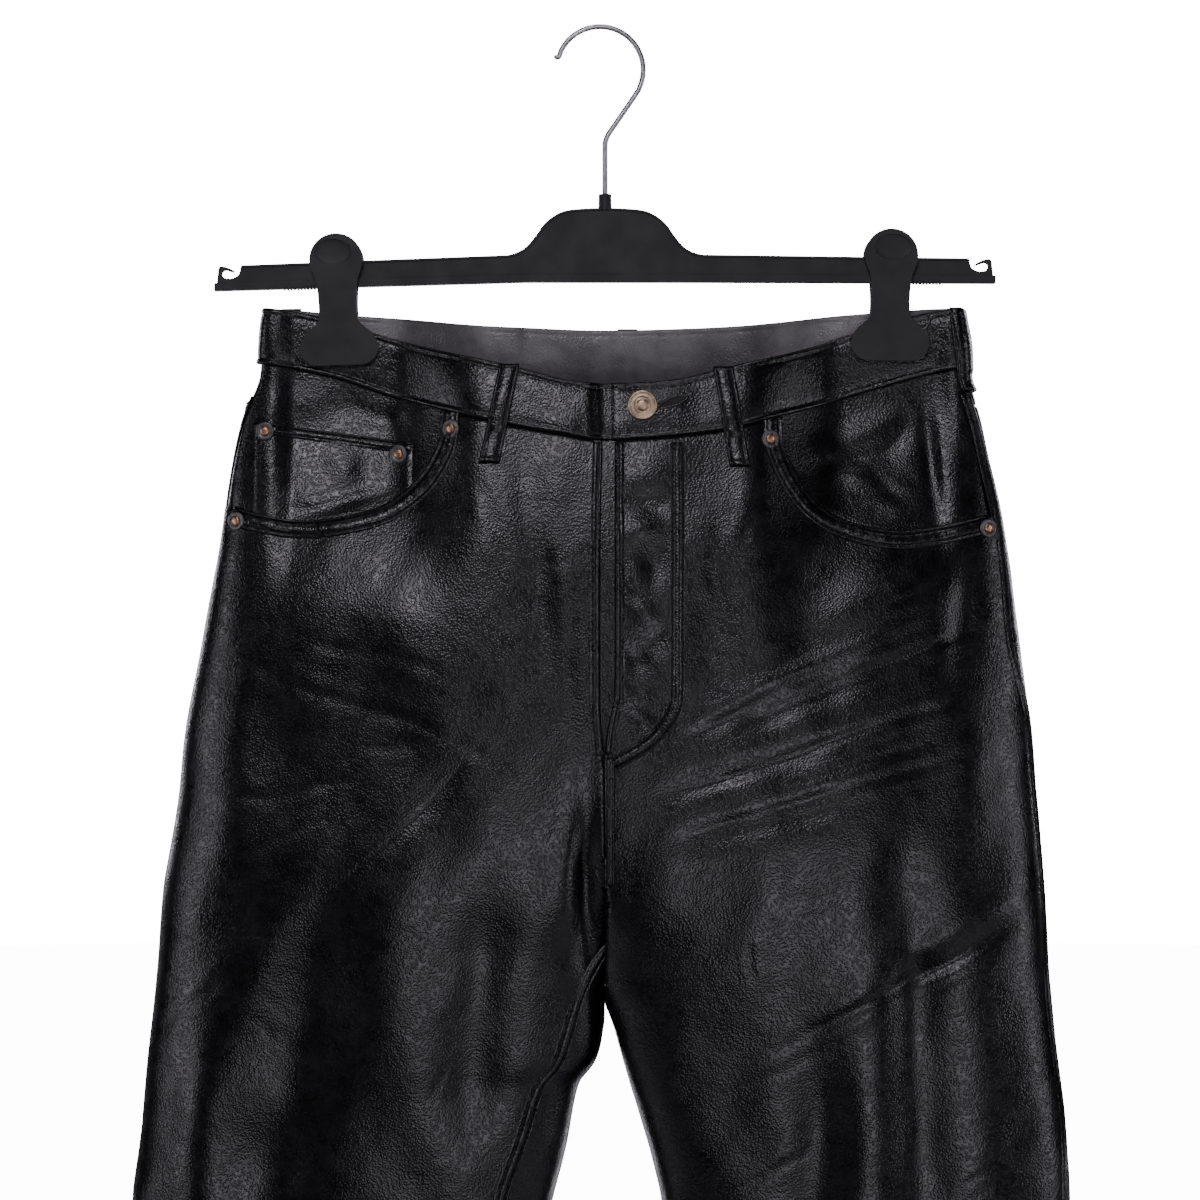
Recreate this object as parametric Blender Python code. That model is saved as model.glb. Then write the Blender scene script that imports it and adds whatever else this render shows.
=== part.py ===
"""Leather five-pocket trousers hanging by two clips from a plastic hanger, in metres, +Z up.

The front faces -Y and +X is the wearer's left. The origin is the inside top of the steel hook, where a rail
bears. Sizes below are in millimetres, and "down" is always the distance below that rail.

The leather is one smooth body surface, its inner face. A point of it is named by a side, an angle round that
side's level section (0 at the middle of the front, 90 at the outer edge, 180 at the middle of the back) and a
distance down. Every piece is a wall between two offsets from that surface.
"""
import math
from collections import namedtuple

import bmesh
import bpy
import numpy as np

MM = 0.001
RIGHT, LEFT = -1, 1

# ---- leather and seams ---------------------------------------------------------------------------
LEATHER = 1.2
SEAM_GAP = 0.3
BAND_IN, BAND_OUT = -0.9, 2.1
TONGUE_DROP = BAND_OUT - BAND_IN + SEAM_GAP
LOOP_WIDTH, LOOP_THICK, LOOP_BULGE = 11.5, 1.8, 1.3
HEM_LEVEL, HEM_TURN = 1221.0, 21.0
HEM_THICK = 2.4
CROTCH = 487.0
FULLNESS = 0.85
BAND_LEVEL = 178.0
BAND_FRONT_MIDDLE = 235.0
POCKET_LEVEL = 300.0
LEVEL_FADE = 45.0

# ---- the body: half-widths to the leather's inner face, depths in front and behind, split into two
Body = namedtuple("Body", "down right left front back split")
BODY = [
    Body(150, 192.5, 201.0, 22, 22, 0.00),
    Body(165, 194.0, 202.3, 22, 22, 0.00),
    Body(190, 196.2, 205.3, 22, 23, 0.00),
    Body(197, 196.8, 206.1, 23, 24, 0.00),
    Body(212, 202.0, 210.0, 25, 27, 0.00),
    Body(225, 206.3, 213.8, 27, 30, 0.00),
    Body(257, 213.1, 220.5, 32, 37, 0.00),
    Body(302, 219.4, 229.1, 37, 44, 0.00),
    Body(348, 228.5, 234.8, 39, 49, 0.08),
    Body(394, 237.1, 241.1, 41, 52, 0.30),
    Body(439, 242.8, 243.9, 43, 54, 0.62),
    Body(470, 247.6, 246.2, 44, 55, 0.88),
    Body(487, 250.2, 247.4, 44, 55, 1.00),
    Body(530, 253.6, 251.3, 42, 51, 1.00),
    Body(576, 258.7, 255.3, 38, 45, 1.00),
    Body(622, 262.7, 259.9, 35, 41, 1.00),
    Body(667, 268.4, 263.8, 33, 38, 1.00),
    Body(760, 268.5, 265.5, 31, 34, 1.00),
    Body(880, 263.0, 262.0, 28, 30, 1.00),
    Body(1000, 258.5, 258.5, 26, 27, 1.00),
    Body(1120, 256.0, 256.0, 24, 24, 1.00),
    Body(1225, 255.0, 255.0, 23, 23, 1.00),
]
Gap = namedtuple("Gap", "down right left")
LEG_GAP = [
    Gap(487, 1.35, 1.35),
    Gap(530, 1.45, 1.45),
    Gap(545, 1.60, 1.80),
    Gap(565, 1.80, 5.8),
    Gap(576, 3.00, 8.6),
    Gap(587, 6.3, 11.5),
    Gap(600, 15.7, 15.2),
    Gap(633, 22.9, 25.1),
    Gap(667, 30.8, 33.7),
    Gap(760, 46.0, 48.0),
    Gap(880, 55.0, 56.0),
    Gap(1000, 59.0, 59.0),
    Gap(1225, 61.0, 61.0),
]
Seams = namedtuple("Seams", "down side_right side_left inseam_right inseam_left")
SEAMS = [
    Seams(150, 96, 79, -90, -90),
    Seams(260, 96, 81, -90, -90),
    Seams(350, 95, 77, -90, -90),
    Seams(400, 94, 84, -90, -90),
    Seams(487, 94, 83, -90, -90),
    Seams(519, 94, 81, -71, -93),
    Seams(553, 94, 78, -60, -95),
    Seams(620, 94, 81, -53, -97),
    Seams(667, 94, 76, -49, -98),
    Seams(760, 94, 78, -52, -98),
    Seams(1225, 94, 80, -60, -97),
]

# ---- waistband: its top edge and its seam, at stations across the front and the back -------------
Band = namedtuple("Band", "x top seam")
BAND_FRONT = [
    Band(-200, 158.0, 190.5),
    Band(-176, 161.3, 194.3),
    Band(-151, 167.0, 199.8),
    Band(-127, 174.8, 208.0),
    Band(-112, 179.0, 212.2),
    Band(-91.5, 184.3, 217.8),
    Band(-79, 187.1, 220.9),
    Band(-67, 189.8, 223.8),
    Band(-44, 195.4, 228.6),
    Band(-22, 201.0, 232.3),
    Band(0, 203.2, 235.6),
    Band(22, 202.6, 234.4),
    Band(44, 200.2, 232.4),
    Band(67, 194.4, 229.6),
    Band(83, 190.6, 225.5),
    Band(98.5, 186.8, 221.6),
    Band(119, 181.0, 216.2),
    Band(137, 174.9, 210.5),
    Band(162, 167.3, 203.2),
    Band(187, 161.5, 196.6),
    Band(210, 158.3, 192.2),
]
BAND_BACK = [
    Band(-200, 158.0, 190.5),
    Band(-187.4, 159.0, 191.8),
    Band(-181.6, 159.6, 192.4),
    Band(-176, 160.0, 193.0),
    Band(-151, 162.3, 195.3),
    Band(-127, 164.1, 197.1),
    Band(-100, 165.6, 198.6),
    Band(-50, 168.0, 201.0),
    Band(0, 169.8, 202.8),
    Band(50, 168.6, 201.6),
    Band(100, 165.8, 198.8),
    Band(137, 162.8, 195.9),
    Band(162, 160.8, 193.9),
    Band(187, 159.2, 192.8),
    Band(210, 158.3, 192.2),
]
BAND_JOIN = 48.0
TONGUE_END = 48.0
TONGUE_STEP = 4.0
BAND_ROWS = 4

# ---- where the clips press front and back together -----------------------------------------------
CLIP_X = {RIGHT: 151.0, LEFT: 162.0}
PINCH_HALF = 25.0
PINCH_DEPTH = 1.5
PINCH_INNER_FADE, PINCH_OUTER_FADE = 60.0, 16.0
PINCH_OUTER_LEFT = 0.5
PINCH_LEVEL, PINCH_END = 198.0, 340.0

# ---- fly: how far each front's edge stands from the middle, and the shield behind ----------------
Fly = namedtuple("Fly", "down right left")
FLY = [
    Fly(230, 1.7, 5.6),
    Fly(300, 2.9, 5.6),
    Fly(376, 2.9, 5.6),
    Fly(387, 2.7, 3.1),
    Fly(399, 2.3, 1.0),
    Fly(411, 1.5, 0.2),
    Fly(420, 0.0, 0.0),
]
Shield = namedtuple("Shield", "x end")
SHIELD = [
    Shield(-10, 414),
    Shield(-4, 416),
    Shield(1, 417),
    Shield(6, 416),
    Shield(14, 412),
    Shield(24, 404),
    Shield(33, 392),
    Shield(39, 374),
]
SHIELD_ROWS = 11

# ---- pockets -------------------------------------------------------------------------------------
Edge = namedtuple("Edge", "x down")
POCKET_START = {RIGHT: 91.5, LEFT: 98.5}
POCKET_EDGE = {
    RIGHT: [Edge(92.5, 235), Edge(101, 251.5), Edge(112, 263.3), Edge(127, 272.7), Edge(151, 278.8),
            Edge(176, 280.2), Edge(199, 276.0), Edge(209.5, 272.6)],
    LEFT: [Edge(99.8, 238), Edge(107.5, 256), Edge(119, 270.5), Edge(137, 281), Edge(162, 286.4),
           Edge(187, 284.2), Edge(205, 280.3), Edge(215, 277.5)],
}
POCKET_SIDE_DOWN = {RIGHT: 270.5, LEFT: 276.0}
FACING_UNDER, FACING_DROP = 6.0, 2.4
COIN_TOP = (Edge(108.0, 236.3), Edge(204.0, 223.2))
COIN_COLUMNS = slice(2, 7)
POCKET_LIFT = 0.4
Patch = namedtuple("Patch", "row inner outer")
BACK_POCKET = [Patch(2, 1.45, 6.45), Patch(8.6, 1.75, 6.1)]
BACK_POCKET_CORNER = 7.6
YOKE_MIDDLE, YOKE_SIDE = 268.0, 214.5

# ---- belt loops: middle of the top and of the foot -----------------------------------------------
Loop = namedtuple("Loop", "name side face top_x foot_x top_lift foot_down")
LOOPS = [
    Loop("belt_loop_front_right", RIGHT, 1, 53.6, 65.0, 0.6, 248.5),
    Loop("belt_loop_front_left", LEFT, 1, 66.4, 75.5, 0.6, 250.5),
    Loop("belt_loop_back", LEFT, -1, 13.0, 13.0, 1.5, 217.0),
]
SIDE_ANGLES = {RIGHT: (74, 82, 90, 99), LEFT: (76, 80.5, 85, 95, 104)}
RIGHT_LOOP_X = (176.0, 181.6, 187.4)
SIDE_LOOP_FOOT = {RIGHT: 209.0, LEFT: 207.0}
LOOP_ROWS = 11

# ---- folds: a soft ridge (height above 0) or trough along a line of the front or the back --------
Fold = namedtuple("Fold", "face x0 down0 x1 down1 width height")
FOLDS = [
    Fold(1, 19, 438, 158, 399, 8, -1.8),
    Fold(1, 37, 407, 198, 347, 9, -2.2),
    Fold(1, 50, 392, 198, 336, 9, 1.6),
    Fold(1, 27, 464, 148, 434, 8, -1.6),
    Fold(1, 150, 549, 240, 500, 9, -2.6),
    Fold(1, 152, 536, 238, 488, 9, 1.6),
    Fold(1, -124, 468, -66, 403, 9, -1.2),
    Fold(1, -150, 480, -196, 700, 24, -7.0),
    Fold(1, -222, 560, -232, 720, 18, 4.0),
    Fold(1, -62, 470, -78, 640, 17, -5.0),
    Fold(1, 166, 440, 186, 720, 17, -5.5),
    Fold(1, 122, 560, 116, 760, 15, -4.5),
    Fold(1, 150, 560, 150, 780, 14, 2.5),
    Fold(1, -120, 760, -190, 1000, 26, -3.5),
    Fold(1, 190, 780, 130, 1010, 26, -3.5),
    Fold(1, -230, 900, -110, 872, 12, -2.5),
    Fold(1, 110, 884, 222, 862, 12, -2.2),
    Fold(1, -92, 985, -150, 1160, 20, -2.5),
    Fold(1, 200, 1010, 150, 1180, 20, -2.5),
    Fold(-1, -30, 500, -180, 478, 12, -3.5),
    Fold(-1, 34, 504, 176, 486, 12, -3.2),
    Fold(-1, -60, 540, -200, 512, 12, -3.0),
    Fold(-1, 60, 536, 200, 520, 11, -2.6),
    Fold(-1, -170, 540, -190, 760, 22, -5.0),
    Fold(-1, 120, 560, 130, 790, 22, -5.0),
    Fold(-1, -80, 600, -110, 800, 18, -3.5),
    Fold(-1, 200, 560, 205, 760, 18, -3.5),
    Fold(-1, -90, 862, -230, 880, 14, -3.0),
    Fold(-1, -90, 905, -215, 915, 12, -2.4),
    Fold(-1, 88, 874, 228, 858, 14, -3.0),
    Fold(-1, 95, 915, 215, 902, 12, -2.2),
    Fold(-1, -150, 960, -120, 1170, 22, -2.5),
    Fold(-1, 150, 960, 190, 1170, 22, -2.5),
]
FOLD_MIDDLE_FROM, FOLD_MIDDLE_TO = 3.0, 15.0

# ---- grid rows of the fronts and backs below the pocket level ------------------------------------
LEG_ROWS = [330, 360, 390, 412, 430, 448, 464, 477, CROTCH, 500, 515, 530, 548, 565, 580, 592, 604, 620, 645,
            680, 730, 790, 850, 910, 980, 1050, 1125, HEM_LEVEL - HEM_TURN - 0.6, HEM_LEVEL - HEM_TURN,
            HEM_LEVEL]
TOP_ROWS = 4
BACK_COLUMNS = 12

# ---- button and rivets ---------------------------------------------------------------------------
Disc = namedtuple("Disc", "name side x down lift radius")
BUTTON = Disc("waist_button", LEFT, 20.9, 215.7, BAND_OUT, 8.5)
RIVETS = [
    Disc("rivet_coin_outer", RIGHT, 192.6, 229.5, LEATHER, 5.3),
    Disc("rivet_coin_inner", RIGHT, 116.5, 242.5, LEATHER + 0.4, 5.3),
    Disc("rivet_pocket_right", RIGHT, 86.0, 228.6, LEATHER, 5.3),
    Disc("rivet_side_right", RIGHT, 208.0, 280.5, LEATHER, 5.3),
    Disc("rivet_pocket_left", LEFT, 92.0, 234.5, LEATHER, 5.3),
    Disc("rivet_side_left", LEFT, 216.0, 284.5, LEATHER, 5.3),
]
DISC_CLEAR = 0.4
Ring = namedtuple("Ring", "share height")
BUTTON_RINGS = [Ring(0.90, 0.0), Ring(1.00, 0.5), Ring(1.00, 1.7), Ring(0.90, 2.6), Ring(0.62, 2.2),
                Ring(0.34, 2.0), Ring(0.30, 2.9), Ring(0.18, 3.3)]
RIVET_RINGS = [Ring(1.00, 0.0), Ring(1.00, 0.6), Ring(0.78, 1.3), Ring(0.46, 1.2), Ring(0.34, 2.0)]

# ---- hanger --------------------------------------------------------------------------------------
WIRE, WIRE_SIDES = 3.1, 12
HOOK_MIDDLE = (-2.9, -23.1)
HOOK_RADIUS = 24.7
HOOK_FROM, HOOK_TO = 163.0, -35.0
HOOK_TIP = (-29.0, -15.2)
HOOK_BEND = [(3.4, -57.6), (1.5, -60.6), (0.4, -63.6), (0.0, -67.0)]
COLLAR_TOP, COLLAR_FOOT = -94.9, -103.0
COLLAR_RADIUS, COLLAR_BORE = 3.9, 1.9
STEM_END = -100.6
BODY_THICK, FLANGE_THICK, FLANGE_HIGH = 5.2, 7.2, 3.4
HUMP = [(0.0, -101.9), (20.0, -103.2), (28.7, -106.4), (34.8, -111.4), (39.3, -117.7), (44.2, -123.6),
        (49.8, -127.2), (55.5, -128.7)]
ARM_END = (207.2, -130.8)
NOTCH = [(207.8, -133.7), (208.9, -136.2), (211.5, -137.7), (214.3, -138.1), (216.9, -137.4),
         (218.3, -135.4), (217.5, -133.7), (215.5, -133.2), (211.6, -134.6), (211.2, -133.7),
         (214.9, -131.8), (218.4, -131.0), (220.0, -132.0), (220.5, -136.0), (221.2, -142.2),
         (222.0, -142.4)]
BAR_FOOT_END, BAR_FOOT_MIDDLE = -144.8, -144.2
ARM_DROP = {RIGHT: 0.0245, LEFT: 0.0}
DROP_FROM = 45.0

# ---- clips ---------------------------------------------------------------------------------------
Clip = namedtuple("Clip", "name side head_x top lean")
CLIPS = [
    Clip("clip_right", RIGHT, -153.4, -116.9, 2.1),
    Clip("clip_left", LEFT, 163.0, -114.2, -1.0),
]
CLIP_HEAD = 15.2
CLIP_OUTLINE = [(13.9, -21.0), (11.9, -27.0), (10.9, -36.0), (10.8, -45.0), (11.9, -50.5), (17.3, -55.6),
                (21.0, -60.1), (22.2, -65.5), (20.6, -70.6), (16.0, -74.3), (11.0, -75.0)]
CLIP_INNER, CLIP_THICK = 3.9, 3.6
HINGE_HALF, HINGE_TOP, HINGE_FOOT = 9.0, -4.0, -14.6

# ---- finishes ------------------------------------------------------------------------------------
Finish = namedtuple("Finish", "name colour metallic roughness")
BLACK_LEATHER = Finish("black_leather", (0.020, 0.018, 0.020, 1), 0.0, 0.38)
BLACK_PLASTIC = Finish("black_plastic", (0.025, 0.025, 0.027, 1), 0.0, 0.50)
HOOK_STEEL = Finish("hook_steel", (0.42, 0.41, 0.42, 1), 1.0, 0.25)
PALE_BRASS = Finish("pale_brass", (0.62, 0.50, 0.36, 1), 1.0, 0.35)
RIVET_METAL = Finish("rivet_metal", (0.45, 0.43, 0.42, 1), 1.0, 0.35)


# ==== scene and mesh helpers ======================================================================
def clear_scene():
    for item in list(bpy.data.objects):
        bpy.data.objects.remove(item, do_unlink=True)


def material_of(finish):
    material = bpy.data.materials.get(finish.name) or bpy.data.materials.new(finish.name)
    material.use_nodes = True
    shader = material.node_tree.nodes["Principled BSDF"]
    shader.inputs["Base Color"].default_value = finish.colour
    shader.inputs["Metallic"].default_value = finish.metallic
    shader.inputs["Roughness"].default_value = finish.roughness
    return material


def add_solid(name, points, faces, finish):
    """A closed body from points in millimetres, with its faces turned outwards."""
    mesh = bpy.data.meshes.new(name)
    mesh.from_pydata([tuple(float(value) * MM for value in point) for point in points], [], faces)
    shape = bmesh.new()
    shape.from_mesh(mesh)
    bmesh.ops.recalc_face_normals(shape, faces=shape.faces)
    shape.to_mesh(mesh)
    shape.free()
    mesh.shade_smooth()
    mesh.set_sharp_from_angle(angle=math.radians(40))
    mesh.materials.append(material_of(finish))
    item = bpy.data.objects.new(name, mesh)
    bpy.context.scene.collection.objects.link(item)
    return item


def add_wall(name, inner, outer, finish):
    """The solid between two grids of points with the same rows and columns."""
    rows, columns = inner.shape[:2]
    points = np.concatenate([inner.reshape(-1, 3), outer.reshape(-1, 3)])

    def at(row, column, layer):
        return layer * rows * columns + row * columns + column

    faces = []
    for row in range(rows - 1):
        for column in range(columns - 1):
            for layer in (0, 1):
                here, right = at(row, column, layer), at(row, column + 1, layer)
                under, across = at(row + 1, column, layer), at(row + 1, column + 1, layer)
                for ring in ([here, right, across], [here, across, under]):
                    faces.append(ring if layer else ring[::-1])
    rim = [(0, column) for column in range(columns)]
    rim += [(row, columns - 1) for row in range(1, rows)]
    rim += [(rows - 1, column) for column in range(columns - 2, -1, -1)]
    rim += [(row, 0) for row in range(rows - 2, 0, -1)]
    for here, there in zip(rim, rim[1:] + rim[:1]):
        faces.append([at(*here, 0), at(*there, 0), at(*there, 1), at(*here, 1)])
    return add_solid(name, points, faces, finish)


def add_plate(name, outline, near, far, finish):
    """A flat plate: an outline of (x, z) points between two depths in y."""
    count = len(outline)
    points = [(x, near, z) for x, z in outline] + [(x, far, z) for x, z in outline]
    faces = [list(range(count)), list(range(2 * count - 1, count - 1, -1))]
    faces += [[i, (i + 1) % count, count + (i + 1) % count, count + i] for i in range(count)]
    return add_solid(name, points, faces, finish)


def add_box(name, low, high, finish):
    outline = [(low[0], low[2]), (high[0], low[2]), (high[0], high[2]), (low[0], high[2])]
    return add_plate(name, outline, low[1], high[1], finish)


def tube_faces(rings, around):
    """Faces of a closed tube through rings of points, capped at both ends."""
    faces = [list(range(around)), list(range(rings * around - 1, (rings - 1) * around - 1, -1))]
    for ring in range(rings - 1):
        for i in range(around):
            here, there = ring * around + i, ring * around + (i + 1) % around
            faces.append([here, there, there + around, here + around])
    return faces


def join_with(target, tool, operation):
    """Apply one exact Boolean and remove the tool."""
    change = target.modifiers.new(operation.lower(), "BOOLEAN")
    change.operation = operation
    change.solver = "EXACT"
    change.object = tool
    bpy.context.view_layer.update()
    mesh = bpy.data.meshes.new_from_object(target.evaluated_get(bpy.context.evaluated_depsgraph_get()))
    target.modifiers.clear()
    target.data = mesh
    bpy.data.objects.remove(tool, do_unlink=True)


def soften_edges(item, width, segments=1, limit=40):
    bevel = item.modifiers.new("edges", "BEVEL")
    bevel.width = width * MM
    bevel.segments = segments
    bevel.limit_method = "ANGLE"
    bevel.angle_limit = math.radians(limit)


# ==== the body surface ============================================================================
def smooth(at, table, column):
    """A table's column between its rows, on a curve that never overshoots them."""
    keys = np.array([row.down for row in table], float)
    values = np.array([getattr(row, column) for row in table], float)
    spans = np.diff(keys)
    slopes = np.diff(values) / spans
    bends = np.zeros_like(values)
    bends[0], bends[-1] = slopes[0], slopes[-1]
    same_way = slopes[:-1] * slopes[1:] > 0
    both = np.where(same_way, slopes[:-1] + slopes[1:], 1.0)
    bends[1:-1] = np.where(same_way, 2 * slopes[:-1] * slopes[1:] / both, 0.0)
    at = np.clip(at, keys[0], keys[-1])
    i = np.clip(np.searchsorted(keys, at, side="right") - 1, 0, len(spans) - 1)
    t = (at - keys[i]) / spans[i]
    rise = values[i + 1] - values[i]
    start, end = bends[i] * spans[i], bends[i + 1] * spans[i]
    return values[i] + t * (start + t * (3 * rise - 2 * start - end + t * (start + end - 2 * rise)))


def ease(low, high, at):
    """0 below low, 1 above high, and a smooth step between."""
    t = np.clip((at - low) / (high - low), 0, 1)
    return t * t * (3 - 2 * t)


def by_side(side, right, left):
    return np.where(np.asarray(side) < 0, right, left)


Section = namedtuple("Section", "centre half front back")


def section(side, down):
    """One side's level section: where its ellipse has its centre, its half-width and its two depths."""
    outer = by_side(side, smooth(down, BODY, "right"), smooth(down, BODY, "left"))
    inner = by_side(side, smooth(down, LEG_GAP, "right"), smooth(down, LEG_GAP, "left"))
    centre = smooth(down, BODY, "split") * (outer + inner) / 2
    return Section(centre, outer - centre, smooth(down, BODY, "front"), smooth(down, BODY, "back"))


def pinch(side, x, y, down):
    """Draw the front and the back together where a clip grips them."""
    clip = by_side(side, CLIP_X[RIGHT], CLIP_X[LEFT])
    inward = clip - PINCH_HALF - np.abs(x)
    outward = np.abs(x) - clip - PINCH_HALF
    hold = 1 - ease(0, PINCH_INNER_FADE, inward) - PINCH_OUTER_LEFT * ease(0, PINCH_OUTER_FADE, outward)
    hold = hold * (1 - ease(PINCH_LEVEL, PINCH_END, down))
    return y * (1 - hold) + hold * np.sign(y) * np.minimum(np.abs(y), PINCH_DEPTH)


def bare_body(side, angle, down):
    """Points of the body surface without its folds."""
    shape = section(side, down)
    turn = np.cos(angle)
    x = side * (shape.centre + shape.half * np.sin(angle))
    y = -np.sign(turn) * np.abs(turn) ** FULLNESS * np.where(turn > 0, shape.front, shape.back)
    return np.stack([x, pinch(side, x, y, down), -down + 0 * x], axis=-1)


def outward(surface, side, angle, down):
    """Unit normals of a surface, by small steps round and down; level ones above the pocket level."""
    step_round, step_down = 0.004, 0.6
    along = surface(side, angle + step_round, down) - surface(side, angle - step_round, down)
    below = surface(side, angle, down + step_down) - surface(side, angle, down - step_down)
    normal = np.cross(below, along) * np.asarray(side, float)[..., None]
    normal[..., 2] *= ease(POCKET_LEVEL, POCKET_LEVEL + LEVEL_FADE, down)
    return normal / np.linalg.norm(normal, axis=-1, keepdims=True)


def fold_height(point, angle):
    """How far the folds stand out from, or dip into, the body at these points."""
    x, down = point[..., 0], -point[..., 2]
    turn = np.cos(angle)
    height = np.zeros_like(x)
    for fold in FOLDS:
        run = np.array([fold.x1 - fold.x0, fold.down1 - fold.down0], float)
        length = np.hypot(*run)
        run /= length
        dx, dz = x - fold.x0, down - fold.down0
        along = (dx * run[0] + dz * run[1]) / length
        across = dx * run[1] - dz * run[0]
        beyond = np.maximum(np.maximum(-along, along - 1), 0) * length
        taper = ease(-0.05, 0.35, along) * ease(-0.05, 0.35, 1 - along)
        shape = np.exp(-(across / fold.width) ** 2 - (beyond / fold.width) ** 2) * taper
        height += fold.height * shape * ease(0.05, 0.5, fold.face * turn)
    clear = ease(FOLD_MIDDLE_FROM, FOLD_MIDDLE_TO, np.abs(x))
    return height * np.where(down < CROTCH, clear, 1.0)


def body(side, angle, down):
    """Points of the leather's inner face, folds included."""
    point = bare_body(side, angle, down)
    return point + outward(bare_body, side, angle, down) * fold_height(point, angle)[..., None]


def layer(side, angle, down, offset):
    """Points at an offset from the leather's inner face, kept on their own side of the middle."""
    side, angle, down, offset = np.broadcast_arrays(np.asarray(side), angle, down, offset)
    return body(side, angle, down) + outward(body, side, angle, down) * offset[..., None]


def keep_side(side, points):
    """Stop a layer half a seam gap short of the middle plane."""
    points = points.copy()
    points[..., 0] = side * np.maximum(side * points[..., 0], SEAM_GAP / 2)
    return points


def angle_at(side, face, x, down):
    """The angle of the point that lies x from the middle, on the front (face 1) or the back (face -1)."""
    shape = section(side, down)
    turn = np.arcsin(np.clip((np.asarray(x, float) - shape.centre) / shape.half, -1, 1))
    return np.where(np.asarray(face) > 0, turn, math.pi - turn)


def band_line(table, column, x):
    """The waistband's top edge or seam, on straight runs between the stations."""
    return np.interp(x, [row.x for row in table], [getattr(row, column) for row in table])


def band_edge(side, angle, column):
    """The waistband's top edge or seam at an angle."""
    down = np.full_like(np.asarray(angle, float), BAND_LEVEL)
    for _ in range(4):
        shape = section(side, down)
        x = side * (shape.centre + shape.half * np.sin(angle))
        down = np.where(np.cos(angle) > 0, band_line(BAND_FRONT, column, x), band_line(BAND_BACK, column, x))
    return down


def at_band(side, face, *x):
    """The angles at which the band's seam lies these distances from the middle."""
    x = np.array(x, float)
    return angle_at(side, face, x, band_line(BAND_FRONT if face > 0 else BAND_BACK, "seam", side * x))


def seam_angle(side, kind, down):
    """The angle of the side seam or of the inseam."""
    right, left = smooth(down, SEAMS, kind + "_right"), smooth(down, SEAMS, kind + "_left")
    return np.radians(by_side(side, right, left))


def half_gap(side, angle, down):
    """Half a seam gap, as an angle."""
    step = 0.004
    run = body(side, angle + step, down) - body(side, angle - step, down)
    return SEAM_GAP / 2 * 2 * step / np.linalg.norm(run, axis=-1)


def middle_angle(side, face, down):
    """The angle of a centre seam, where the leather's outer face ends half a gap from the middle plane."""
    shape = section(side, down)
    depth = shape.front if face > 0 else shape.back
    fly = by_side(side, smooth(down, FLY, "right"), smooth(down, FLY, "left")) if face > 0 else 0.0
    reach = np.full_like(down, SEAM_GAP / 2)
    for _ in range(4):
        turn = np.arcsin(np.clip((reach + fly - shape.centre) / shape.half, -1, 1))
        slope = np.hypot(np.sin(turn) / shape.half, np.cos(turn) / depth)
        reach = SEAM_GAP / 2 + LEATHER * np.abs(np.sin(turn)) / shape.half / slope
    return turn if face > 0 else math.pi - turn


def inner_angle(side, face, down):
    """The edge of a front or a back towards the middle: the centre seam, then the inseam."""
    inseam = seam_angle(side, "inseam", down) + (0 if face > 0 else 2 * math.pi)
    inseam = inseam + face * half_gap(side, inseam, down)
    return np.where(down < CROTCH, middle_angle(side, face, down), inseam)


def outer_angle(side, face, down):
    """The edge of a front or a back at the side seam."""
    seam = seam_angle(side, "side", down)
    return seam - face * half_gap(side, seam, down)


# ==== fronts, facings and coin pocket =============================================================
def pocket_columns(side):
    """The pocket opening's edge, from the waistband to the side seam, as angles and distances down."""
    x = np.array([edge.x for edge in POCKET_EDGE[side]])
    down = np.array([edge.down for edge in POCKET_EDGE[side]], float)
    angle = angle_at(side, 1, x, down)
    side_down = np.array([POCKET_SIDE_DOWN[side]])
    return np.append(angle, outer_angle(side, 1, side_down)), np.append(down, side_down)


def front_grid(side):
    """Angles and distances down of a front, row by row from its top edge to the hem."""
    stations = np.array([abs(row.x) for row in BAND_FRONT
                         if row.x * side > 1 and abs(row.x) <= POCKET_START[side]])
    stations.sort()
    angle = np.append(middle_angle(side, 1, np.array([BAND_FRONT_MIDDLE])), at_band(side, 1, *stations))
    top = band_edge(side, angle, "seam") + SEAM_GAP
    pocket_angle, pocket_down = pocket_columns(side)
    angle, top = np.append(angle, pocket_angle), np.append(top, pocket_down)
    level = np.full_like(top, POCKET_LEVEL)
    inner, outer = inner_angle(side, 1, level[:1]), outer_angle(side, 1, level[:1])
    across = np.append(stations, [edge.x for edge in POCKET_EDGE[side]])
    below = np.concatenate([inner, angle_at(side, 1, across, level[1:-1]), outer])
    angles, downs = [], []
    for step in np.arange(TOP_ROWS) / TOP_ROWS:
        row_down = top + (level - top) * step
        row = angle + (below - angle) * step
        row[0] = middle_angle(side, 1, row_down[:1])[0]
        row[-1] = outer_angle(side, 1, row_down[-1:])[0]
        angles.append(row)
        downs.append(row_down)
    share = (below - inner) / (outer - inner)
    even = np.linspace(0, 1, len(share))
    for down in [POCKET_LEVEL] + LEG_ROWS:
        row_down = np.full_like(share, down)
        mix = ease(POCKET_LEVEL, CROTCH, down)
        first, last = inner_angle(side, 1, row_down[:1]), outer_angle(side, 1, row_down[:1])
        angles.append(first + (last - first) * (share * (1 - mix) + even * mix))
        downs.append(row_down)
    return np.array(angles), np.array(downs)


def hem_offsets(downs):
    """Inner and outer offsets of a leg: the turned hem is double, its second layer inside."""
    turned = downs >= HEM_LEVEL - HEM_TURN
    return np.where(turned, LEATHER - HEM_THICK, 0.0), np.full_like(downs, LEATHER)


def add_leg_panel(name, side, angles, downs):
    low, high = hem_offsets(downs)
    inner = keep_side(side, layer(side, angles, downs, low))
    outer = keep_side(side, layer(side, angles, downs, high))
    add_wall(name, inner, outer, BLACK_LEATHER)


def add_front(side, name):
    angles, downs = front_grid(side)
    add_leg_panel(name, side, angles, downs)


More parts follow.
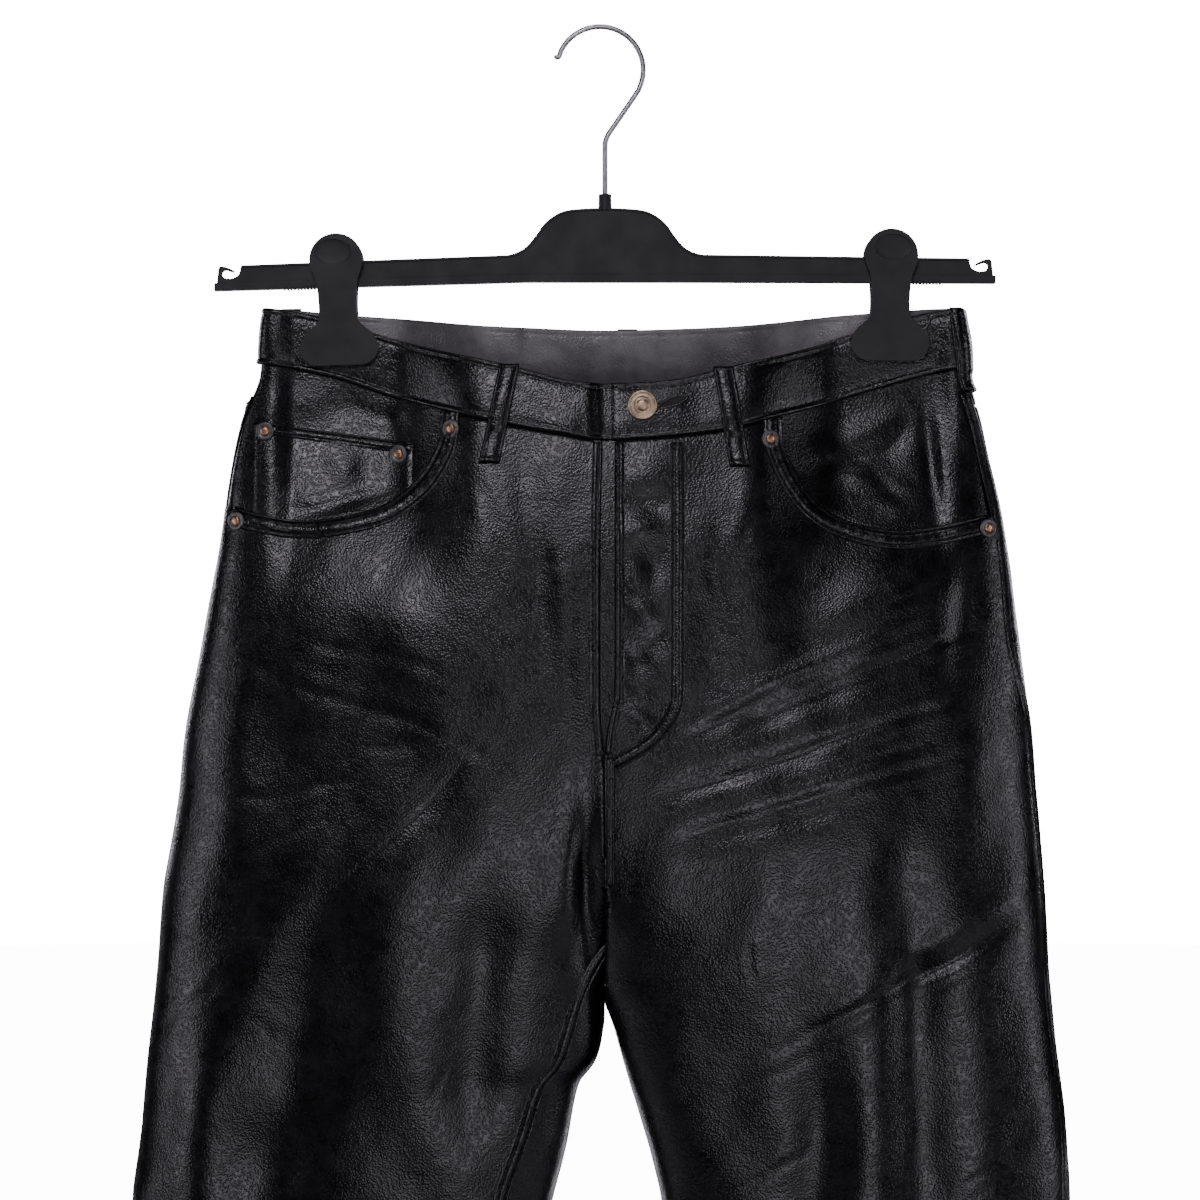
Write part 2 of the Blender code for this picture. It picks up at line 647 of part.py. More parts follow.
def facing_grid(side):
    """The pocket facing from the waistband past the opening's edge, under the front's first row."""
    edge_angle, edge_down = pocket_columns(side)
    angles, downs = front_grid(side)
    count = len(edge_angle)
    x = np.array([edge.x for edge in POCKET_EDGE[side]][:-2])
    x[0] += 2 * SEAM_GAP
    top_angle = at_band(side, 1, *x)
    last = outer_angle(side, 1, np.array([BAND_LEVEL]))[0]
    turn = np.linspace(top_angle[-2], last, count - len(x) + 2)[1:]
    top_angle = np.append(top_angle[:-1], turn)
    seam = band_edge(side, top_angle, "seam") + SEAM_GAP
    across = np.abs(body(side, top_angle, seam)[:, 0])
    coin = np.interp(across, [point.x for point in COIN_TOP], [point.down for point in COIN_TOP])
    share = np.clip((coin - seam) / (edge_down - seam), 0.1, 0.35)
    steps = [np.zeros(count), share] + [share + (1 - share) * step for step in (1 / 3, 2 / 3, 1)]
    grid_angles, grid_downs = [], []
    for step in steps:
        row_down = seam + (edge_down - seam) * step
        row = top_angle + (edge_angle - top_angle) * step
        row[-1] = outer_angle(side, 1, row_down[-1:])[0]
        grid_angles.append(row)
        grid_downs.append(row_down)
    grid_angles.append(angles[1, -count:])
    grid_downs.append(downs[1, -count:])
    return np.array(grid_angles), np.array(grid_downs)


def add_facing(side, name):
    """The facing, with one more column towards the fly that runs on under the front."""
    angles, downs = facing_grid(side)
    x = np.abs(body(side, angles[:, 0], downs[:, 0])[:, 0]) - FACING_UNDER
    first = angle_at(side, 1, x, downs[:, 0])
    first_down = downs[:, 0] + band_edge(side, first, "seam") - band_edge(side, angles[:, 0], "seam")
    angles = np.column_stack([first, angles])
    downs = np.column_stack([first_down, downs])
    drop = np.zeros_like(angles)
    drop[:, 0] = FACING_DROP
    inner = layer(side, angles, downs, -SEAM_GAP - LEATHER - drop)
    outer = layer(side, angles, downs, -SEAM_GAP - drop)
    add_wall(name, inner, outer, BLACK_LEATHER)


def add_coin_pocket():
    """It lies on the right facing and ends just above the opening's edge."""
    angles, downs = facing_grid(RIGHT)
    angles, downs = angles[1:5, COIN_COLUMNS], downs[1:5, COIN_COLUMNS].copy()
    downs[-1] -= POCKET_LIFT
    inner = layer(RIGHT, angles, downs, 0.0)
    outer = layer(RIGHT, angles, downs, LEATHER)
    add_wall("coin_pocket", inner, outer, BLACK_LEATHER)


def add_fly_shield():
    """The button side of the fly, behind both fronts, seen in the gap between their edges."""
    x = np.array([row.x for row in SHIELD], float)
    side = np.where(x < 0, RIGHT, LEFT)
    top = band_edge(side, at_band(side, 1, *np.abs(x)), "seam") + SEAM_GAP
    end = np.array([row.end for row in SHIELD], float)
    steps = np.linspace(0, 1, SHIELD_ROWS)[:, None]
    downs = top + (end - top) * steps
    angles = angle_at(side, 1, np.abs(x), downs)
    inner = layer(side, angles, downs, -SEAM_GAP - LEATHER)
    outer = layer(side, angles, downs, -SEAM_GAP)
    add_wall("fly_shield", inner, outer, BLACK_LEATHER)


# ==== yokes, backs and back pockets ===============================================================
def back_stations(side):
    """Angles across the back at the waistband, from the centre seam to the side seam."""
    x = sorted(abs(row.x) for row in BAND_BACK if row.x * side > 1)[:-1]
    level = np.array([BAND_LEVEL])
    first = middle_angle(side, -1, level)
    last = outer_angle(side, -1, level)
    across = at_band(side, -1, *x)
    turn = np.radians(SIDE_ANGLES[side])[::-1]
    return np.concatenate([first, across, turn[turn > last + 0.02], last])


def yoke_seam(side, angle):
    """The yoke's lower edge, a shallow V with its point at the centre seam."""
    shape = section(side, np.full_like(angle, (YOKE_MIDDLE + YOKE_SIDE) / 2))
    share = np.clip((shape.centre + shape.half * np.sin(angle)) / (shape.centre + shape.half), 0, 1)
    return YOKE_MIDDLE + (YOKE_SIDE - YOKE_MIDDLE) * share


def add_yoke(side, name):
    plan = back_stations(side)
    top = band_edge(side, plan, "seam") + SEAM_GAP
    end = yoke_seam(side, plan)
    steps = np.linspace(0, 1, BAND_ROWS)[:, None]
    downs = top + (end - top) * steps
    angles = np.tile(plan, (BAND_ROWS, 1))
    angles[:, 0] = middle_angle(side, -1, downs[:, 0])
    angles[:, -1] = outer_angle(side, -1, downs[:, -1])
    inner = keep_side(side, layer(side, angles, downs, 0.0))
    outer = keep_side(side, layer(side, angles, downs, LEATHER))
    add_wall(name, inner, outer, BLACK_LEATHER)


def back_grid(side):
    plan = np.linspace(middle_angle(side, -1, np.array([YOKE_MIDDLE]))[0],
                       outer_angle(side, -1, np.array([YOKE_SIDE]))[0], BACK_COLUMNS)
    top = yoke_seam(side, plan) + SEAM_GAP
    share = np.linspace(0, 1, BACK_COLUMNS)
    level = np.full(BACK_COLUMNS, POCKET_LEVEL)
    angles, downs = [], []
    rows = [top + (level - top) * step for step in np.arange(TOP_ROWS - 1) / (TOP_ROWS - 1)]
    rows += [np.full(BACK_COLUMNS, float(down)) for down in [POCKET_LEVEL] + LEG_ROWS]
    for row_down in rows:
        first = inner_angle(side, -1, row_down[:1])
        last = outer_angle(side, -1, row_down[-1:])
        angles.append(first + (last - first) * share)
        downs.append(row_down)
    return np.array(angles), np.array(downs)


def add_back(side, name):
    angles, downs = back_grid(side)
    add_leg_panel(name, side, angles, downs)


def on_grid(points, row, column):
    """Points between a grid's rows and columns, on the flat triangles that join its own points."""
    row, column = np.broadcast_arrays(row, column)
    i = np.clip(row.astype(int), 0, points.shape[0] - 2)
    j = np.clip(column.astype(int), 0, points.shape[1] - 2)
    s, t = (row - i)[..., None], (column - j)[..., None]
    here, right = points[i, j], points[i, j + 1]
    under, across = points[i + 1, j], points[i + 1, j + 1]
    return here + np.where(s > t, s * (under - here) + t * (across - under),
                           t * (right - here) + s * (across - right))


def add_back_pocket(side, name):
    """A patch on the back's own rows and columns, with a shallow point below."""
    first, last = BACK_POCKET
    rows = np.arange(first.row, math.ceil(BACK_POCKET_CORNER), dtype=float)
    steps = np.append((rows - first.row) / (last.row - first.row), 1.0)
    count = int(first.outer) - int(first.inner) + 2
    grid_rows, grid_columns = [], []
    for row, step in zip(np.append(rows, BACK_POCKET_CORNER), steps):
        inner = first.inner + (last.inner - first.inner) * step
        outer = first.outer + (last.outer - first.outer) * step
        columns = np.concatenate([[inner], np.arange(int(first.inner) + 1, int(first.outer) + 1), [outer]])
        middle = 1 - np.abs(2 * np.linspace(0, 1, count) - 1)
        grid_rows.append(row + (last.row - BACK_POCKET_CORNER) * middle * (step == 1.0))
        grid_columns.append(columns)
    angles, downs = back_grid(side)
    low = layer(side, angles, downs, LEATHER + SEAM_GAP)
    high = layer(side, angles, downs, 2 * LEATHER + SEAM_GAP)
    rows, columns = np.array(grid_rows), np.array(grid_columns)
    add_wall(name, on_grid(low, rows, columns), on_grid(high, rows, columns), BLACK_LEATHER)


# ==== waistband and loops =========================================================================
def band_columns(side):
    """Angles from the front's stations round the side to the back's, at the waistband."""
    front = sorted(abs(row.x) for row in BAND_FRONT if row.x * side > 1)[:-1]
    back = sorted((abs(row.x) for row in BAND_BACK if row.x * side > 1), reverse=True)[1:]
    return np.concatenate([at_band(side, 1, *front), np.radians(SIDE_ANGLES[side]), at_band(side, -1, *back)])


def add_band(name, sides, angles, drop):
    """A stretch of waistband through columns that each have a side, an angle and an inward drop."""
    top, seam = band_edge(sides, angles, "top"), band_edge(sides, angles, "seam")
    steps = np.linspace(0, 1, BAND_ROWS)[:, None]
    downs = top + (seam - top) * steps
    angles = np.tile(angles, (BAND_ROWS, 1))
    inner = layer(sides, angles, downs, BAND_IN - drop)
    outer = layer(sides, angles, downs, BAND_OUT - drop)
    add_wall(name, inner, outer, BLACK_LEATHER)


def add_waistband():
    """Two lengths that join behind; the right one runs on under the left one's end as the button tongue."""
    tongue = at_band(LEFT, 1, TONGUE_END, 36, 22, 12, 3)
    middle = at_band(RIGHT, 1, 0, TONGUE_STEP, 12)
    right = np.concatenate([middle, band_columns(RIGHT)])
    back_end = at_band(RIGHT, -1, BAND_JOIN + SEAM_GAP / 2)
    right = np.append(right[right < back_end - 0.02], back_end)
    sides = np.concatenate([np.full(len(tongue), LEFT), np.full(len(right), RIGHT)])
    drop = np.concatenate([np.full(len(tongue), TONGUE_DROP), np.zeros(len(right))])
    drop[len(tongue)] = TONGUE_DROP * 0.62
    add_band("waistband_right", sides, np.concatenate([tongue, right]), drop)

    front = at_band(LEFT, 1, 3.6)
    left = np.concatenate([front, band_columns(LEFT), at_band(LEFT, -1, 0)])
    across = at_band(RIGHT, -1, 25, BAND_JOIN - SEAM_GAP / 2)
    sides = np.concatenate([np.full(len(left), LEFT), np.full(len(across), RIGHT)])
    add_band("waistband_left", sides, np.concatenate([left, across]), np.zeros(len(sides)))


def loop_offsets(downs, top, seam):
    """How far a loop's inner face stands off: on the band, bulging over it, then on the leather below."""
    over_band = ease(seam + 1.5, seam + 4.5, downs)
    bulge = LOOP_BULGE * np.sin(np.pi * np.clip((downs - top) / (seam + 4.5 - top), 0, 1)) ** 2
    on_band = BAND_OUT + SEAM_GAP + bulge
    return on_band * (1 - over_band) + (LEATHER + SEAM_GAP) * over_band


def add_loop_grid(name, side, angles, downs, top, seam):
    low = loop_offsets(downs, top, seam)
    inner = layer(side, angles, downs, low)
    outer = layer(side, angles, downs, low + LOOP_THICK)
    add_wall(name, inner, outer, BLACK_LEATHER)


def add_loop(loop):
    """A flat strip from just above the band's top edge to a foot below its seam."""
    start = at_band(loop.side, loop.face, loop.top_x)
    top, seam = band_edge(loop.side, start, "top")[0], band_edge(loop.side, start, "seam")[0]
    steps = np.linspace(0, 1, LOOP_ROWS)
    row_down = top - loop.top_lift + (loop.foot_down - top + loop.top_lift) * steps
    x = loop.top_x + (loop.foot_x - loop.top_x) * steps
    downs = np.tile(row_down[:, None], (1, 3))
    across = x[:, None] + np.array([-0.5, 0.0, 0.5]) * LOOP_WIDTH
    side = np.where(across < 0, -loop.side, loop.side)
    angles = angle_at(side, loop.face, np.abs(across), downs)
    add_loop_grid(loop.name, side, angles, downs, top, seam)


def add_side_loop(name, side, angles, foot_down):
    """A strip that follows the turn of the waist, on the band's own columns."""
    top = band_edge(side, angles, "top").mean()
    seam = band_edge(side, angles, "seam").mean()
    row_down = np.linspace(top - 0.8, foot_down, LOOP_ROWS)
    downs = np.tile(row_down[:, None], (1, len(angles)))
    add_loop_grid(name, side, np.tile(angles, (LOOP_ROWS, 1)), downs, top, seam)


# ==== button and rivets ===========================================================================
def add_disc(disc, rings, finish, around):
    """A turned button or rivet that sits on the leather, its axis along the surface's normal."""
    down = np.array([float(disc.down)])
    angle = angle_at(disc.side, 1, np.array([disc.x]), down)
    side = np.full(1, disc.side)
    foot = layer(side, angle, down, disc.lift)[0]
    axis = outward(body, side, angle, down)[0]
    across = np.cross((0, 0, 1), axis)
    across /= np.linalg.norm(across)
    up = np.cross(axis, across)
    turns = np.linspace(0, 2 * math.pi, around, endpoint=False)
    rim_x, rim_down = disc.x + disc.radius * np.cos(turns), disc.down + disc.radius * np.sin(turns)
    rim = layer(disc.side, angle_at(disc.side, 1, rim_x, rim_down), rim_down, disc.lift)
    foot += axis * (np.maximum(0, (rim - foot) @ axis).max() + DISC_CLEAR)
    points = []
    for ring in rings:
        for turn in np.linspace(0, 2 * math.pi, around, endpoint=False):
            spoke = across * math.cos(turn) + up * math.sin(turn)
            points.append(foot + axis * ring.height + spoke * ring.share * disc.radius)
    add_solid(disc.name, points, tube_faces(len(rings), around), finish)


# ==== hanger ======================================================================================
def drooped(side, x, z):
    """A point of the hanger's outline on one side, with that arm's droop."""
    return side * x, z - ARM_DROP[side] * max(0.0, x - DROP_FROM)


def hanger_outline(side):
    """One half of the hanger's edge, from the middle of its hump round the arm's end to the foot."""
    half = HUMP + [ARM_END] + NOTCH + [(NOTCH[-1][0], BAR_FOOT_END), (DROP_FROM, BAR_FOOT_MIDDLE)]
    return [drooped(side, x, z) for x, z in half]


def add_hanger():
    left = hanger_outline(LEFT)
    right = hanger_outline(RIGHT)
    outline = left + right[:0:-1]
    bar = add_plate("hanger_bar", outline, -BODY_THICK / 2, BODY_THICK / 2, BLACK_PLASTIC)
    foot = [drooped(side, x, z + rise) for side, x, z, rise in (
        (RIGHT, 222.4, BAR_FOOT_END, -0.1), (RIGHT, DROP_FROM, BAR_FOOT_MIDDLE, -0.1),
        (LEFT, DROP_FROM, BAR_FOOT_MIDDLE, -0.1), (LEFT, 222.4, BAR_FOOT_END, -0.1),
        (LEFT, 222.4, BAR_FOOT_END, FLANGE_HIGH), (LEFT, DROP_FROM, BAR_FOOT_MIDDLE, FLANGE_HIGH),
        (RIGHT, DROP_FROM, BAR_FOOT_MIDDLE, FLANGE_HIGH), (RIGHT, 222.4, BAR_FOOT_END, FLANGE_HIGH))]
    flange = add_plate("flange", foot, -FLANGE_THICK / 2, FLANGE_THICK / 2, BLACK_PLASTIC)
    join_with(bar, flange, "UNION")
    collar = add_turned("collar", COLLAR_RADIUS, COLLAR_TOP, COLLAR_FOOT, 20)
    join_with(bar, collar, "UNION")
    bore = add_turned("bore", COLLAR_BORE, COLLAR_TOP + 1, STEM_END - SEAM_GAP, 16)
    join_with(bar, bore, "DIFFERENCE")
    bar.data.materials.clear()
    bar.data.materials.append(material_of(BLACK_PLASTIC))


def add_turned(name, radius, top, foot, around):
    """An upright round post, slightly narrower at its top."""
    points, waist = [], 0.92 if radius > WIRE else 1.0
    for z, share in ((foot, 1.0), (top, waist)):
        for turn in np.linspace(0, 2 * math.pi, around, endpoint=False):
            points.append((radius * share * math.cos(turn), radius * share * math.sin(turn), z))
    return add_solid(name, points, tube_faces(2, around), BLACK_PLASTIC)


def hook_path():
    """The wire's middle line: the tip, the round of the hook, the slant back and the stem."""
    path = [HOOK_TIP]
    for degrees in np.arange(HOOK_FROM, HOOK_TO - 1, -11):
        turn = math.radians(degrees)
        path.append((HOOK_MIDDLE[0] + HOOK_RADIUS * math.cos(turn),
                     HOOK_MIDDLE[1] + HOOK_RADIUS * math.sin(turn)))
    return path + HOOK_BEND + [(0.0, (HOOK_BEND[-1][1] + STEM_END) / 2), (0.0, STEM_END)]


def add_hook():
    """A round wire swept along its middle line, with flat ends."""
    path = np.array([(x, 0.0, z) for x, z in hook_path()])
    run = np.gradient(path, axis=0)
    run /= np.linalg.norm(run, axis=1, keepdims=True)
    sideways = np.array([0.0, 1.0, 0.0])
    points = []
    for middle, way in zip(path, run):
        other = np.cross(way, sideways)
        for turn in np.linspace(0, 2 * math.pi, WIRE_SIDES, endpoint=False):
            points.append(middle + (sideways * math.cos(turn) + other * math.sin(turn)) * WIRE / 2)
    add_solid("hanger_hook", points, tube_faces(len(path), WIRE_SIDES), HOOK_STEEL)


def clip_outline(clip):
    """A clip jaw seen from the front: round head, narrow neck and flared foot, leaning a little."""
    head = [(CLIP_HEAD * math.cos(t), CLIP_HEAD * math.sin(t) - CLIP_HEAD)
            for t in np.radians(np.arange(90, -21, -15))]
    half = head + CLIP_OUTLINE
    whole = half + [(-x, z) for x, z in half[:0:-1]]
    lean = math.radians(clip.lean)
    return [(clip.head_x + x * math.cos(lean) - z * math.sin(lean),
             clip.top + x * math.sin(lean) + z * math.cos(lean)) for x, z in whole]


def add_clip(clip):
    """Two jaws that hang over the bar, their hinge blocks meeting above it."""
    for name, way in (("_front", -1), ("_back", 1)):
        near, far = way * CLIP_INNER, way * (CLIP_INNER + CLIP_THICK)
        jaw = add_plate(clip.name + name, clip_outline(clip), near, far, BLACK_PLASTIC)
        low = (clip.head_x - HINGE_HALF, way * SEAM_GAP / 2, clip.top + HINGE_FOOT)
        high = (clip.head_x + HINGE_HALF, way * (CLIP_INNER + 0.5), clip.top + HINGE_TOP)
        join_with(jaw, add_box("hinge", low, high, BLACK_PLASTIC), "UNION")
        jaw.data.materials.clear()
        jaw.data.materials.append(material_of(BLACK_PLASTIC))
        soften_edges(jaw, 0.7)


def build():
    clear_scene()
    for side, name in ((RIGHT, "right"), (LEFT, "left")):
        add_front(side, "front_" + name)
        add_back(side, "back_" + name)
        add_yoke(side, "yoke_" + name)
        add_facing(side, "pocket_facing_" + name)
        add_back_pocket(side, "back_pocket_" + name)
    add_coin_pocket()
    add_fly_shield()
    add_waistband()
    for loop in LOOPS:
        add_loop(loop)
    add_side_loop("belt_loop_side_right", RIGHT, at_band(RIGHT, -1, *RIGHT_LOOP_X), SIDE_LOOP_FOOT[RIGHT])
    add_side_loop("belt_loop_side_left", LEFT, np.radians(SIDE_ANGLES[LEFT]), SIDE_LOOP_FOOT[LEFT])
    add_disc(BUTTON, BUTTON_RINGS, PALE_BRASS, 24)
    for rivet in RIVETS:
        add_disc(rivet, RIVET_RINGS, RIVET_METAL, 14)
    add_hanger()
    add_hook()
    for clip in CLIPS:
        add_clip(clip)


build()
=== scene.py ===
"""Looks of the leather trousers and their clip hanger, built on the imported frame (metres, +Z up).

Sizes in the tables are millimetres and "down" is the distance below the rail. The leather's body surface is
the model's smooth surface, made fuller in the legs and at the fork. The skins, hems, stitches and creases lie
on it.
"""
import math
from collections import namedtuple

import bmesh
import bpy
import numpy as np
from mathutils import Matrix, Vector


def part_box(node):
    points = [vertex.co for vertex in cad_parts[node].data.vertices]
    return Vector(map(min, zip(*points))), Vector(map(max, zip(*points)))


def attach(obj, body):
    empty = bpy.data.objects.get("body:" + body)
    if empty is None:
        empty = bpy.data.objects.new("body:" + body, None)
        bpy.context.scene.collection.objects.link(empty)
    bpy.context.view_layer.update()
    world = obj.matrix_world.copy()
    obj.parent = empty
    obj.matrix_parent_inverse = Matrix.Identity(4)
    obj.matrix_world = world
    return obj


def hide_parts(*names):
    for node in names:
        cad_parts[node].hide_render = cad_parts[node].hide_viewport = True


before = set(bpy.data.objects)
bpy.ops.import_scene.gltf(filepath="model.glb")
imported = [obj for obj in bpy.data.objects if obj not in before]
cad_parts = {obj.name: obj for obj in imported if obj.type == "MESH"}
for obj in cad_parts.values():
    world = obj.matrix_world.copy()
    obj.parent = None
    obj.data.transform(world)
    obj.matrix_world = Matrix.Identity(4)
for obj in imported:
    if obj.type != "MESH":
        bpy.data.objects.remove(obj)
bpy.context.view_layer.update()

MM = 0.001
RIGHT, LEFT = -1, 1
NAMES = {RIGHT: "right", LEFT: "left"}
LEATHER = 1.2
SEAM_GAP, CUT_GAP, FROM_MIDDLE = 0.3, 0.1, 0.04
BAND_IN, BAND_OUT = -0.9, 2.1
TONGUE_DROP = BAND_OUT - BAND_IN + SEAM_GAP
LOOP_WIDTH = 11.5
HEM_LEVEL, HEM_TURN, HEM_THICK = 1221.0, 21.0, 2.4
HEM_TOP = HEM_LEVEL - HEM_TURN
CROTCH = 487.0
FULLNESS, FORK_FULLNESS = 0.85, {RIGHT: 0.74, LEFT: 0.34}
FORK_FROM, FORK_FULL, FORK_TO, FORK_END, FORK_FADE = 300.0, 430.0, 540.0, 860.0, 0.6
BAND_LEVEL = 178.0
POCKET_LEVEL = 300.0
LEVEL_FADE = 45.0
TOUCHING, APART = 1.3, 548.0
RIPPLE_SLOW, RIPPLE_QUICK = 0.75, 0.16
RIPPLE_SIDE, RIPPLE_TOP = (4.0, 22.0), (205.0, 260.0)       # where ripples begin, beside the fly and down
FACE_FADE, CREASE_FADE = (0.05, 0.5), (0.05, 0.4)           # how a form on one face dies out at the sides
CREASE_REACH, CREASE_LIP, LIP_AWAY, LIP_WIDE = 12, 0.42, 2.3, 1.4
ARC_SAMPLES, HIDDEN = 260, 0.97

# ---- the body surface (the model's tables, with a fuller fork) --------------------------------------
Body = namedtuple("Body", "down right left front back split")
BODY = [Body(*row) for row in (
    (150, 192.5, 201.0, 22, 22, 0.00), (165, 194.0, 202.3, 22, 22, 0.00), (190, 196.2, 205.3, 22, 23, 0.00),
    (197, 196.8, 206.1, 23, 24, 0.00), (212, 202.0, 210.0, 25, 27, 0.00), (225, 206.3, 213.8, 27, 30, 0.00),
    (257, 213.1, 220.5, 32, 37, 0.00), (302, 219.4, 229.1, 37, 44, 0.00), (348, 228.5, 234.8, 39, 49, 0.10),
    (394, 237.1, 241.1, 41, 52, 0.36), (439, 242.8, 243.9, 43, 54, 0.64), (470, 247.6, 246.2, 44, 55, 0.79),
    (487, 250.2, 247.4, 44, 55, 0.85), (530, 253.6, 251.3, 42, 51, 0.975), (576, 258.7, 255.3, 38, 45, 1.00),
    (622, 262.7, 259.9, 35, 41, 1.00), (667, 268.4, 263.8, 33, 38, 1.00), (760, 268.5, 265.5, 31, 34, 1.00),
    (880, 263.0, 262.0, 28, 30, 1.00), (1000, 258.5, 258.5, 26, 27, 1.00), (1120, 256.0, 256.0, 24, 24, 1.00),
    (1225, 255.0, 255.0, 23, 23, 1.00))]
Gap = namedtuple("Gap", "down right left")
LEG_GAP = [Gap(*row) for row in (
    (487, 1.24, 1.24), (530, 1.24, 1.24), (545, 1.30, 1.40), (565, 1.80, 5.8), (576, 3.00, 8.6),
    (587, 6.3, 11.5), (600, 15.7, 15.2), (633, 22.9, 25.1), (667, 30.8, 33.7), (760, 46.0, 48.0),
    (880, 55.0, 56.0), (1000, 59.0, 59.0), (1225, 61.0, 61.0))]
Seams = namedtuple("Seams", "down side_right side_left inseam_right inseam_left")
SEAMS = [Seams(*row) for row in (
    (150, 96, 79, -90, -90), (260, 96, 81, -90, -90), (350, 95, 77, -90, -90), (400, 94, 84, -90, -90),
    (487, 94, 83, -90, -90), (519, 94, 81, -71, -93), (553, 94, 78, -60, -95), (620, 94, 81, -53, -97),
    (667, 94, 76, -49, -98), (760, 94, 78, -52, -98), (1225, 94, 80, -60, -97))]
Band = namedtuple("Band", "down top seam")          # "down" holds the station's x here
BAND_FRONT = [Band(*row) for row in (
    (-200, 158.0, 190.5), (-176, 161.3, 194.3), (-151, 167.0, 199.8), (-127, 174.8, 208.0),
    (-112, 179.0, 212.2), (-91.5, 184.3, 217.8), (-67, 189.8, 223.8), (-44, 195.4, 228.6),
    (-22, 201.0, 232.3), (0, 203.2, 235.6), (22, 202.6, 234.4), (44, 200.2, 232.4), (67, 194.4, 229.6),
    (98.5, 186.8, 221.6), (119, 181.0, 216.2), (137, 174.9, 210.5), (162, 167.3, 203.2),
    (187, 161.5, 196.6), (210, 158.3, 192.2))]
BAND_BACK = [Band(*row) for row in (
    (-200, 158.0, 190.5), (-176, 160.0, 193.0), (-151, 162.3, 195.3), (-127, 164.1, 197.1),
    (-100, 165.6, 198.6), (-50, 168.0, 201.0), (0, 169.8, 202.8), (50, 168.6, 201.6), (100, 165.8, 198.8),
    (137, 162.8, 195.9), (162, 160.8, 193.9), (187, 159.2, 192.8), (210, 158.3, 192.2))]
BAND_JOIN = 48.0
TONGUE_END, BAND_START = 48.0, 3.6
CLIP_X = {RIGHT: 151.0, LEFT: 162.0}
PINCH_HALF, PINCH_DEPTH = 25.0, 1.5
PINCH_INNER_FADE, PINCH_OUTER_FADE, PINCH_OUTER_LEFT = 60.0, 16.0, 0.5
PINCH_LEVEL, PINCH_END = 198.0, 340.0
Fly = namedtuple("Fly", "down right left")
FLY = [Fly(*row) for row in ((230, 1.7, 5.6), (300, 2.9, 5.6), (376, 2.9, 5.6), (387, 2.7, 3.1),
                             (399, 2.3, 1.0), (411, 1.5, 0.2), (420, 0.0, 0.0))]
POCKET_START = {RIGHT: 91.5, LEFT: 98.5}
POCKET_EDGE = {
    RIGHT: [(91.5, 217.0), (92.5, 235), (101, 251.5), (112, 263.3), (127, 272.7), (151, 278.8), (176, 280.2),
            (199, 276.0), (209.5, 272.6)],
    LEFT: [(98.5, 220.8), (99.8, 238), (107.5, 256), (119, 270.5), (137, 281), (162, 286.4), (187, 284.2),
           (205, 280.3), (215, 277.5)]}
POCKET_SIDE_DOWN = {RIGHT: 270.5, LEFT: 276.0}
YOKE_MIDDLE, YOKE_SIDE = 268.0, 214.5

Fold = namedtuple("Fold", "face x0 down0 x1 down1 width height")
FOLDS = [Fold(*row) for row in (
    (1, 19, 438, 158, 399, 8, -1.8), (1, 37, 407, 198, 347, 9, -2.2), (1, 50, 392, 198, 336, 9, 1.6),
    (1, 27, 464, 148, 434, 8, -1.6), (1, 150, 549, 240, 500, 9, -2.6), (1, 152, 536, 238, 488, 9, 1.6),
    (1, -124, 468, -66, 403, 9, -1.2), (1, -150, 480, -196, 700, 24, -7.0),
    (1, -222, 560, -232, 720, 18, 4.0), (1, -62, 470, -78, 640, 17, -5.0),
    (1, 166, 440, 186, 720, 17, -5.5), (1, 122, 560, 116, 760, 15, -4.5), (1, 150, 560, 150, 780, 14, 2.5),
    (1, -120, 760, -190, 1000, 26, -3.5), (1, 190, 780, 130, 1010, 26, -3.5),
    (1, -230, 900, -110, 872, 12, -2.5), (1, 110, 884, 222, 862, 12, -2.2),
    (1, -92, 985, -150, 1160, 20, -2.5), (1, 200, 1010, 150, 1180, 20, -2.5),
    (-1, -30, 500, -180, 478, 12, -3.5), (-1, 34, 504, 176, 486, 12, -3.2),
    (-1, -60, 540, -200, 512, 12, -3.0), (-1, 60, 536, 200, 520, 11, -2.6),
    (-1, -170, 540, -190, 760, 22, -5.0), (-1, 120, 560, 130, 790, 22, -5.0),
    (-1, -80, 600, -110, 800, 18, -3.5), (-1, 200, 560, 205, 760, 18, -3.5),
    (-1, -90, 862, -230, 880, 14, -3.0), (-1, -90, 905, -215, 915, 12, -2.4),
    (-1, 88, 874, 228, 858, 14, -3.0), (-1, 95, 915, 215, 902, 12, -2.2),
    (-1, -150, 960, -120, 1170, 22, -2.5), (-1, 150, 960, 190, 1170, 22, -2.5))]

